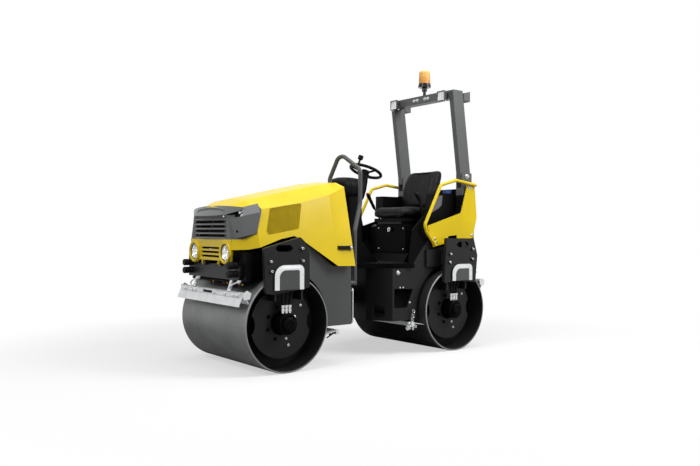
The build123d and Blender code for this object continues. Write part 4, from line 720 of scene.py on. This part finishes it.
# Platform and seat box: black plate with a rubber mat on the floor, and a key lock on the cover.
mat = Shape()
ribs = 11
for number in range(ribs):
    x = -0.44 + 0.032 * number
    half = 0.37 if x < -0.24 else 0.37 - (x + 0.24) * 0.9
    outline = [(x, -half, 0.7501), (x + 0.02, -half, 0.7501), (x + 0.02, half, 0.7501), (x, half, 0.7501)]
    mat.plate(outline, (0, 0, 1), 0.004)
mat.piece("floor_mat", rubber, "rear_body", 0.001)
lock = Shape()
lock.turned(((0.021, 0.0), (0.021, 0.004), (0.017, 0.007), (0.015, 0.007), (0.0145, 0.003), (0.005, 0.003)), (-0.5305, 0, 1.03), (1, 0, 0), 28)
lock.bar((-0.5275, 0.0, 1.03), (-0.516, 0.0, 1.03), 0.0045)
lock.plate([(-0.516, -0.004, 1.012), (-0.516, 0.004, 1.012), (-0.516, 0.006, 1.044), (-0.516, -0.006, 1.044)], (1, 0, 0), 0.004)
for y, z in ((0.165, 0.862), (-0.165, 0.862), (0.165, 1.042), (-0.165, 1.042)):
    lock.bolt((-0.5467, y, z), (1, 0, 0), 0.005)
lock.piece("cover_lock", plated, "cover_body")

# Black plastic: console, levers, steering wheel, pod and water tank, with a moulded grain.
plastic = Shader("black_plastic", (0.0032, 0.0032, 0.0035), 0.4, Specular_IOR_Level=0.07)
plastic.bump(plastic.noise(650, 2), 0.0002, 0.5)
plastic.feed(Roughness=0.38 + plastic.noise(7, 3) * 0.12)
finish(plastic, "side_console", "steering_console", "steering_wheel", "water_tank")
blue_plastic = Shader("blue_cap", (0.02, 0.06, 0.24), 0.42)
blue_plastic.bump(blue_plastic.noise(500, 2), 0.0002, 0.4)
blue_plastic.feed(Roughness=0.38 + blue_plastic.noise(20, 2) * 0.1)
finish(blue_plastic, "tank_cap")

# Travel lever: a bright bent rod in a rubber boot, with a moulded grip and a red button on top.
lever = Shape()
lever.bar((-0.67, -0.282, 1.105), (-0.588, -0.282, 1.228), 0.0075)
travel = lever.piece("travel_rod", plated, "rear_body")
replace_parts(travel, "travel_lever")
grip_line = Vector((0.083, 0, 0.133)).normalized()
grip = Shape()
grip_form = ((0.0105, -0.012), (0.0135, 0.0), (0.015, 0.02), (0.0135, 0.04), (0.0155, 0.062), (0.014, 0.085), (0.0165, 0.11), (0.018, 0.135), (0.015, 0.148), (0.006, 0.15))
grip.turned(grip_form, (-0.588, -0.282, 1.228), grip_line, 24)
boot = ((0.03, 0.0), (0.028, 0.006), (0.022, 0.008), (0.024, 0.014), (0.017, 0.017), (0.019, 0.023), (0.011, 0.027), (0.008, 0.032))
grip.turned(boot, (-0.67, -0.282, 1.0805), (0, 0, 1), 24)
grip.piece("travel_grip", plastic, "rear_body")
button = Shape()
tip = Vector((-0.588, -0.282, 1.228)) + grip_line * 0.148
button.turned(((0.0115, 0.0), (0.0115, 0.005), (0.009, 0.009), (0.003, 0.01)), tip, grip_line, 20)
button.piece("travel_button", red_cap, "rear_body")

# Steering column: a black plastic shroud on the platform, a rounded instrument pod with moulded
# grooves over it, and the wheel's nacelle. Switches face the seat.
column = Shape()
shroud_rows = (
    (0.7505, -0.205, 0.02, 0.1), (0.79, -0.19, 0.005, 0.092), (1.0, -0.175, -0.012, 0.082), (1.2, -0.168, -0.005, 0.09), (1.31, -0.155, 0.02, 0.1),
)
rings = []
for z, low_x, high_x, half in shroud_rows:
    ring = []
    for number in range(32):
        angle = 2 * math.pi * number / 32
        along = math.copysign(abs(math.cos(angle)) ** 0.45, math.cos(angle))
        across = math.copysign(abs(math.sin(angle)) ** 0.45, math.sin(angle))
        ring.append(((low_x + high_x) / 2 + (high_x - low_x) / 2 * along, half * across, z))
    rings.append(ring)
column.skin(rings)
rings = []
# Columns: x, share of the pod's full size
for x, share in (
    (0.1, 0.35), (0.097, 0.55), (0.085, 0.74), (0.062, 0.88), (0.03, 0.965), (0.0, 0.99), (-0.004, 0.968), (-0.01, 0.968), (-0.014, 0.995),
    (-0.055, 1.0), (-0.072, 0.998), (-0.076, 0.972), (-0.082, 0.972), (-0.086, 0.99), (-0.125, 0.95), (-0.15, 0.88), (-0.168, 0.76), (-0.174, 0.62), (-0.16, 0.56),
):
    ring = []
    for number in range(48):
        angle = 2 * math.pi * number / 48
        across = math.copysign(abs(math.cos(angle)) ** 0.75, math.cos(angle))
        upward = math.copysign(abs(math.sin(angle)) ** 0.75, math.sin(angle))
        ring.append((x, 0.122 * share * across, 1.372 + 0.095 * share * upward))
    rings.append(ring)
column.skin(rings)
axis = Vector((-0.3746, 0, 0.9272))
nacelle = ((0.042, 0.0), (0.056, 0.05), (0.054, 0.12), (0.044, 0.19), (0.036, 0.225), (0.033, 0.243))
column.turned(nacelle, (-0.155, 0, 1.27), axis, 36)
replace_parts(column.piece("steering_column", plastic, "rear_body"), "steering_console")
switches = Shape()
for y, z in ((-0.045, 1.4), (0.0, 1.405), (0.045, 1.4), (0.062, 1.37)):
    switches.turned(((0.011, 0.0), (0.011, 0.004), (0.008, 0.006), (0.0075, 0.013), (0.004, 0.014)), (-0.1615, y, z), (-1, 0, -0.1), 18)
switches.piece("pod_switches", plated, "rear_body")

# Rear panels: bright bolts where each panel meets the handrail and the roll-over bar's bracket.
panel_bolts = Shape()
for side in (1, -1):
    out = (0, side, 0)
    for x, z in ((-0.655, 0.955), (-0.672, 0.925), (-1.062, 1.4), (-1.093, 1.4), (-1.105, 0.985)):
        panel_bolts.bolt((x, side * 0.4452, z), out, 0.0085)
    panel_bolts.bolt((-1.065, side * 0.4215, 1.5), out, 0.015)
    panel_bolts.bolt((-1.065, side * 0.3475, 1.5), (0, -side, 0), 0.015)
panel_bolts.piece("panel_bolts", plated, "rear_body")

# Seat: a bucket of foam under black vinyl. The cushion has rolled sides and a dipped middle, the
# backrest has side bolsters, a rounded top and two upright seams. Each pad is swollen by a short
# cloth run, held along its seams and edges, and its seams are pressed in afterwards.
vinyl = Shader("seat_vinyl", (0.0105, 0.0105, 0.0108), 0.44, Specular_IOR_Level=0.14)
creases_and_crease_shade = vinyl.noise(24, 5, (1, 0.5, 1))
vinyl.bump(vinyl.noise(420, 4) * 0.7 + creases_and_crease_shade * 0.3, 0.0004, 0.5)
# Darker in the hollows of the crease pattern and lighter on its crests: painted shade and highlight on the creases.
vinyl.feed(Base_Color=vinyl.mix(creases_and_crease_shade, vinyl.tint(0.8), vinyl.tint(1.25)))
vinyl.feed(Roughness=0.42 + vinyl.noise(6, 3) * 0.14)


def eased(value, low, high):
    """0 below the low mark, 1 above the high one, eased between them."""
    share = min(1, max(0, (value - low) / (high - low)))
    return share * share * (3 - 2 * share)


def pad_form(rows, steps=48):
    """Closed pad through rows of middle, front direction, half width, half thickness and bolster."""
    shape = Shape()
    rings = []
    for middle, front, half_width, half_thick, bolster in rows:
        ring = []
        for number in range(steps):
            angle = 2 * math.pi * number / steps
            across = math.copysign(abs(math.cos(angle)) ** 0.5, math.cos(angle))
            deep = math.copysign(abs(math.sin(angle)) ** 0.6, math.sin(angle))
            swell = bolster * (eased(abs(across), 0.5, 0.85) - 0.35 * (1 - eased(abs(across), 0.0, 0.6))) if deep > 0 else 0
            ring.append(Vector(middle) + Vector((0, half_width * across, 0)) + Vector(front) * (half_thick * deep + swell))
        rings.append(ring)
    shape.skin(rings)
    return shape


def swollen(shape, name, seams, bounds, cap=0.012):
    """Even out a pad, swell it as cloth under pressure with its seams held, and press the seams in."""
    bmesh.ops.recalc_face_normals(shape.mesh, faces=shape.mesh.faces)
    mesh = bpy.data.meshes.new(name)
    shape.mesh.to_mesh(mesh)
    shape.mesh.free()
    pad = bpy.data.objects.new(name, mesh)
    scene.collection.objects.link(pad)
    even = pad.modifiers.new("even", "REMESH")
    even.mode = "VOXEL"
    even.voxel_size = 0.006
    smooth = pad.modifiers.new("smooth", "SMOOTH")
    smooth.iterations = 6
    pad.data = bpy.data.meshes.new_from_object(pad.evaluated_get(bpy.context.evaluated_depsgraph_get()))
    pad.modifiers.clear()
    rest = [vertex.co.copy() for vertex in pad.data.vertices]
    depth = [seams(point) for point in rest]
    held = pad.vertex_groups.new(name="seams")
    for number, pressed in enumerate(depth):
        if pressed > 0.6:
            held.add([number], 1.0, "REPLACE")
    cloth = pad.modifiers.new("swell", "CLOTH")
    cloth.settings.use_pressure = True
    cloth.settings.uniform_pressure_force = 4
    cloth.settings.effector_weights.gravity = 0
    cloth.settings.vertex_group_mass = "seams"
    cloth.point_cache.frame_end = 20
    for number in range(1, 21):
        scene.frame_set(number)
    moved = pad.evaluated_get(bpy.context.evaluated_depsgraph_get()).to_mesh()
    for vertex, after in zip(pad.data.vertices, moved.vertices):
        shift = after.co - vertex.co
        vertex.co += shift * min(1, cap / max(shift.length, 1e-6))
    scene.frame_set(1)
    pad.modifiers.clear()
    pad.vertex_groups.clear()
    normals = [vertex.normal.copy() for vertex in pad.data.vertices]
    for vertex, normal, pressed in zip(pad.data.vertices, normals, depth):
        vertex.co -= normal * 0.006 * pressed
        vertex.co = [min(high, max(low, value)) for low, value, high in zip(bounds[0], vertex.co, bounds[1])]
    finer = pad.modifiers.new("finer", "SUBSURF")
    finer.levels = finer.render_levels = 1
    pad.data = bpy.data.meshes.new_from_object(pad.evaluated_get(bpy.context.evaluated_depsgraph_get()))
    pad.modifiers.clear()
    pad.data.materials.clear()
    pad.data.materials.append(vinyl.material)
    pad.data.shade_smooth()
    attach(pad, "rear_body")
    return pad


def groove(distance, width=0.006):
    """How deep a seam pulls the cover in at this distance from its line."""
    return math.exp(-(distance / width) ** 2)


def cushion_seams(point):
    side = groove(abs(point.y) - 0.128) if point.z > 1.17 else 0
    front = groove(point.x + 0.575) if point.z > 1.17 and abs(point.y) < 0.128 else 0
    edge = 0.8 * groove(point.z - 1.168, 0.005) if abs(point.y) > 0.17 or point.x > -0.54 else 0
    return max(side, front, edge)


def back_seams(point):
    forward = point.x > -0.905 - 0.17 * (point.z - 1.3)
    side = groove(abs(point.y) - 0.118 - 0.03 * (point.z - 1.25)) if forward and point.z < 1.53 else 0
    cross = groove(point.z - 1.535) if forward and abs(point.y) < 0.128 else 0
    return max(side, cross)


cushion_low, cushion_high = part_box("seat_cushion")
flat = cushion_low[2] + 0.001
cushion_rows = []
# Columns: share of the length from back to front, half width share, thickness share, bolster
for share, width, thick, bolster in (
    (0.0, 0.8, 0.55, 0.0), (0.03, 0.9, 0.75, 0.006), (0.12, 0.95, 0.85, 0.012), (0.35, 0.97, 0.86, 0.018),
    (0.6, 0.97, 0.88, 0.018), (0.8, 0.95, 0.95, 0.01), (0.92, 0.93, 0.9, 0.002), (0.98, 0.9, 0.7, 0.0), (1.0, 0.85, 0.5, 0.0),
):
    x = cushion_low[0] + 0.014 + share * (cushion_high[0] - cushion_low[0] - 0.028)
    height = (cushion_high[2] - cushion_low[2] - 0.016) * thick
    cushion_rows.append(((x, 0, flat + 0.004 + height / 2), (0, 0, 1), 0.213 * width, height / 2, bolster))
pad = swollen(pad_form(cushion_rows), "seat_pad", cushion_seams, (cushion_low, cushion_high))
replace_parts(pad, "seat_cushion")

back_low, back_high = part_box("seat_backrest")
back_rows = []
# Columns: share of the height, middle x, half width, half thickness, bolster
for share, x, width, thick, bolster in (
    (0.0, -0.886, 0.175, 0.018, 0.0), (0.03, -0.888, 0.198, 0.026, 0.004), (0.15, -0.896, 0.213, 0.03, 0.018),
    (0.4, -0.913, 0.216, 0.03, 0.03), (0.65, -0.932, 0.217, 0.028, 0.027), (0.82, -0.946, 0.213, 0.026, 0.018),
    (0.92, -0.954, 0.204, 0.024, 0.008), (0.97, -0.958, 0.19, 0.02, 0.0), (0.995, -0.96, 0.165, 0.013, 0.0),
):
    z = back_low[2] + 0.006 + share * (back_high[2] - back_low[2] - 0.016)
    back_rows.append(((x, 0, z), Vector((1, 0, 0.17)).normalized(), width, thick, bolster))
pad = swollen(pad_form(back_rows), "backrest_pad", back_seams, (back_low, back_high))
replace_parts(pad, "seat_backrest")

# Seat side: a grey moulded trim plate beside the tank, and the fore-and-aft lever's rubber grip.
trim = Shape()
for side in (1, -1):
    line = ((-0.69, 1.165), (-0.80, 1.215), (-0.835, 1.245), (-0.845, 1.33), (-0.745, 1.312), (-0.715, 1.2))
    trim.plate([(x, side * 0.337, z) for x, z in line], (0, side, 0), 0.006)
trim.piece("seat_side_trims", moulded_with_highlight, "rear_body", 0.003)
route = [(-0.598, 0.262, 1.335), (-0.625, 0.262, 1.338), (-0.648, 0.262, 1.3), (-0.662, 0.262, 1.255), (-0.668, 0.262, 1.235)]
hose("seat_lever_grip", route, 0.0165, rubber, "rear_body")
hose("seat_lever_sleeve", [(-0.664, 0.262, 1.25), (-0.676, 0.262, 1.19), (-0.688, 0.262, 1.13)], 0.0105, rubber, "rear_body")

# Roll-over bar's lamps: tapered black housings whose open mouths hold a white ribbed lens, slanted
# back at the top. Only the two front ones have a clear lens, and the rear ones are smoked.
finish(grey_coat, "work_lamps")
# The front lenses also glow faintly white: painted light that brightens them.
lens = Shader("work_lamp_lens_glow", (0.86, 0.88, 0.9), 0.12, Emission_Strength=0.12, Emission_Color=(1, 1, 1, 1))
x, y, z = lens.axes()
lens.bump(lens.node("Math", {"operation": "SINE"}, in0=y * 600.0), 0.0005, 0.5)
lens.feed(Base_Color=lens.mix(lens.ramp(lens.noise(30, 2), 0.3, 0.7), lens.tint(0.85), lens.tint(1.05)))
smoked = Shader("smoked_lens", (0.02, 0.02, 0.021), 0.12)
smoked.feed(Roughness=0.1 + smoked.noise(30, 2) * 0.06)
lamp_low, lamp_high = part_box("work_lamps")
lamp_half = 0.0385
lamp_middle = 2.2
for facing, reach, half_span, finish_coat, name in (
    (1, lamp_high[0], 0.312, lens, "front_lamp_lenses"), (-1, lamp_low[0], 0.385, smoked, "rear_lamp_lenses"),
):
    panes = Shape()
    for side in (1, -1):
        y = side * half_span
        low_x = reach - facing * 0.0015
        high_x = reach - facing * 0.0085
        outline = [
            (low_x, y - lamp_half, lamp_middle - lamp_half), (low_x, y + lamp_half, lamp_middle - lamp_half),
            (high_x, y + lamp_half, lamp_middle + lamp_half), (high_x, y - lamp_half, lamp_middle + lamp_half),
        ]
        panes.plate(outline, (-facing, 0, 0), 0.003)
    panes.piece(name, finish_coat, "rops_body", 0.0015)
lamp_screws = Shape()
for side in (1, -1):
    for y in (0.27, 0.354):
        lamp_screws.bolt((-0.868, side * y * 0.985, 2.158), (0.35, 0, -1), 0.006)
    lamp_screws.bolt((-0.905, side * 0.09, 2.215), (1, 0, 0), 0.011)
    lamp_screws.bolt((-0.905, side * 0.05, 2.215), (1, 0, 0), 0.011)
lamp_screws.piece("lamp_bracket_bolts", plated, "rops_body")

# Beacon: a black base and stalk under an amber dome with fine upright ribs, all one moulding in the
# frame, so the finish parts them by height.
amber = Shader("beacon_amber", (0.9, 0.42, 0.06), 0.2, Specular_IOR_Level=0.3, Emission_Strength=1.0)
x, y, z = amber.axes()
beacon_low, beacon_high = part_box("beacon")
dome_low = beacon_high[2] - 0.118
dome = amber.ramp(z, dome_low, dome_low + 0.001)
centre_x = (beacon_low[0] + beacon_high[0]) / 2
swing = amber.node("Math", {"operation": "ARCTAN2"}, in0=y, in1=x - centre_x)
ribs = amber.node("Math", {"operation": "SINE"}, in0=swing * 44.0)
# The dome is paler towards its top, painted light falling from above, and its faint amber emission is painted light
# too.
painted_top_light = amber.ramp(z, dome_low, beacon_high[2])
amber_and_top_light = amber.mix(painted_top_light, (0.6, 0.25, 0.03, 1), (0.92, 0.5, 0.12, 1))
amber.feed(Base_Color=amber.mix(dome, (0.008, 0.008, 0.008, 1), amber_and_top_light))
amber.feed(Emission_Color=amber.mix(dome, (0, 0, 0, 1), (0.06, 0.028, 0.006, 1)))
amber.bump(ribs * dome, 0.0007, 0.5)
finish(amber, "beacon")

# Floor, white background and soft studio light
floor_mesh = bpy.data.meshes.new("studio_floor")
floor_half = 30
corners = [(-floor_half, -floor_half, 0), (floor_half, -floor_half, 0), (floor_half, floor_half, 0), (-floor_half, floor_half, 0)]
floor_mesh.from_pydata(corners, [], [(0, 1, 2, 3)])
floor = bpy.data.objects.new("studio_floor", floor_mesh)
scene.collection.objects.link(floor)
pale = Shader("pale_floor", (0.4, 0.4, 0.4), 0.9, Specular_IOR_Level=0.0, Emission_Strength=1.0)
across = pale.node("VectorMath", {"operation": "LENGTH"}, out="Value", in0=pale.place)
far = pale.ramp(across, 1.6, 3.6)
near_tone = pale.mix(pale.noise(0.4, 2), (0.4, 0.4, 0.4, 1), (0.42, 0.42, 0.42, 1))
pale.feed(Base_Color=pale.mix(far, near_tone, (0, 0, 0, 1)))
seen = pale.node("LightPath", out="Is Camera Ray")
mirrored = pale.node("LightPath", out="Is Glossy Ray")
through = pale.node("LightPath", out="Is Transmission Ray")
shown_white = pale.node("Math", {"operation": "MAXIMUM"}, in0=seen, in1=through)
lift = pale.mix(far, (0.56, 0.56, 0.56, 1), (1, 1, 1, 1))
# Seen in glossy reflections the floor is black near the machine and white further out: painted shade in what shiny
# parts reflect of the floor beside them.
reflected_floor_shade = pale.mix(mirrored * far, (0, 0, 0, 1), (1, 1, 1, 1))
pale.feed(Emission_Color=pale.mix(shown_white, reflected_floor_shade, lift))
floor_mesh.materials.append(pale.material)
floor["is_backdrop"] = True

world = bpy.data.worlds.new("studio")
scene.world = world
world.use_nodes = True
tree = world.node_tree
path = tree.nodes.new("ShaderNodeLightPath")
plain = tree.nodes["Background"]
plain.inputs["Color"].default_value = (1, 1, 1, 1)
plain.inputs["Strength"].default_value = 0.13
shown = tree.nodes.new("ShaderNodeBackground")
shown.inputs["Color"].default_value = (1, 1, 1, 1)
shown.inputs["Strength"].default_value = 1.0
direct = tree.nodes.new("ShaderNodeMath")
direct.operation = "MAXIMUM"
tree.links.new(path.outputs["Is Camera Ray"], direct.inputs[0])
tree.links.new(path.outputs["Is Glossy Ray"], direct.inputs[1])
either = tree.nodes.new("ShaderNodeMath")
either.operation = "MAXIMUM"
tree.links.new(direct.outputs[0], either.inputs[0])
tree.links.new(path.outputs["Is Transmission Ray"], either.inputs[1])
blend = tree.nodes.new("ShaderNodeMixShader")
tree.links.new(either.outputs[0], blend.inputs[0])
tree.links.new(plain.outputs[0], blend.inputs[1])
tree.links.new(shown.outputs[0], blend.inputs[2])
tree.links.new(blend.outputs[0], tree.nodes["World Output"].inputs["Surface"])

# Columns: name, place, aimed at, width, power
lamps = (
    ("overhead", (0.3, 0.8, 5.2), (0.0, 0.0, 0.6), 4.0, 130),
    ("front_side", (4.8, 1.0, 4.2), (0.8, 0.0, 0.9), 2.4, 120),
    ("left_side", (-2.2, 3.4, 4.0), (-0.9, 0.0, 1.2), 2.2, 175),
)
for name, place, aim, width, power in lamps:
    light = bpy.data.lights.new(name, "AREA")
    light.size = width
    light.energy = power
    holder = bpy.data.objects.new(name, light)
    holder.location = place
    holder.rotation_mode = "QUATERNION"
    holder.rotation_quaternion = (Vector(aim) - Vector(place)).to_track_quat("-Z", "Y")
    scene.collection.objects.link(holder)

# Camera, solved from the photograph's drum rims, lamps and posts
photo_width = 700
sensor = 36.0
focal_pixels = 735.972
turn, tilt, roll = (math.radians(value) for value in (142.2504, 0.2297, 0.2232))
eye = Vector((3.7162, 4.9178, 1.0246))
back = Vector((math.sin(turn) * math.cos(tilt), -math.cos(turn) * math.cos(tilt), math.sin(tilt)))
level = Vector((math.cos(turn), math.sin(turn), 0))
upright = back.cross(level)
right = math.cos(roll) * level + math.sin(roll) * upright
up = math.cos(roll) * upright - math.sin(roll) * level
camera = bpy.data.objects.new("camera", bpy.data.cameras.new("camera"))
camera.data.sensor_width = sensor
camera.data.lens = focal_pixels * sensor / photo_width
camera.data.clip_end = 200
camera.matrix_world = Matrix((
    (right.x, up.x, back.x, eye.x), (right.y, up.y, back.y, eye.y), (right.z, up.z, back.z, eye.z), (0, 0, 0, 1),
))
scene.collection.objects.link(camera)
scene.camera = camera

scene.view_settings.view_transform = "Standard"

low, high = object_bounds()
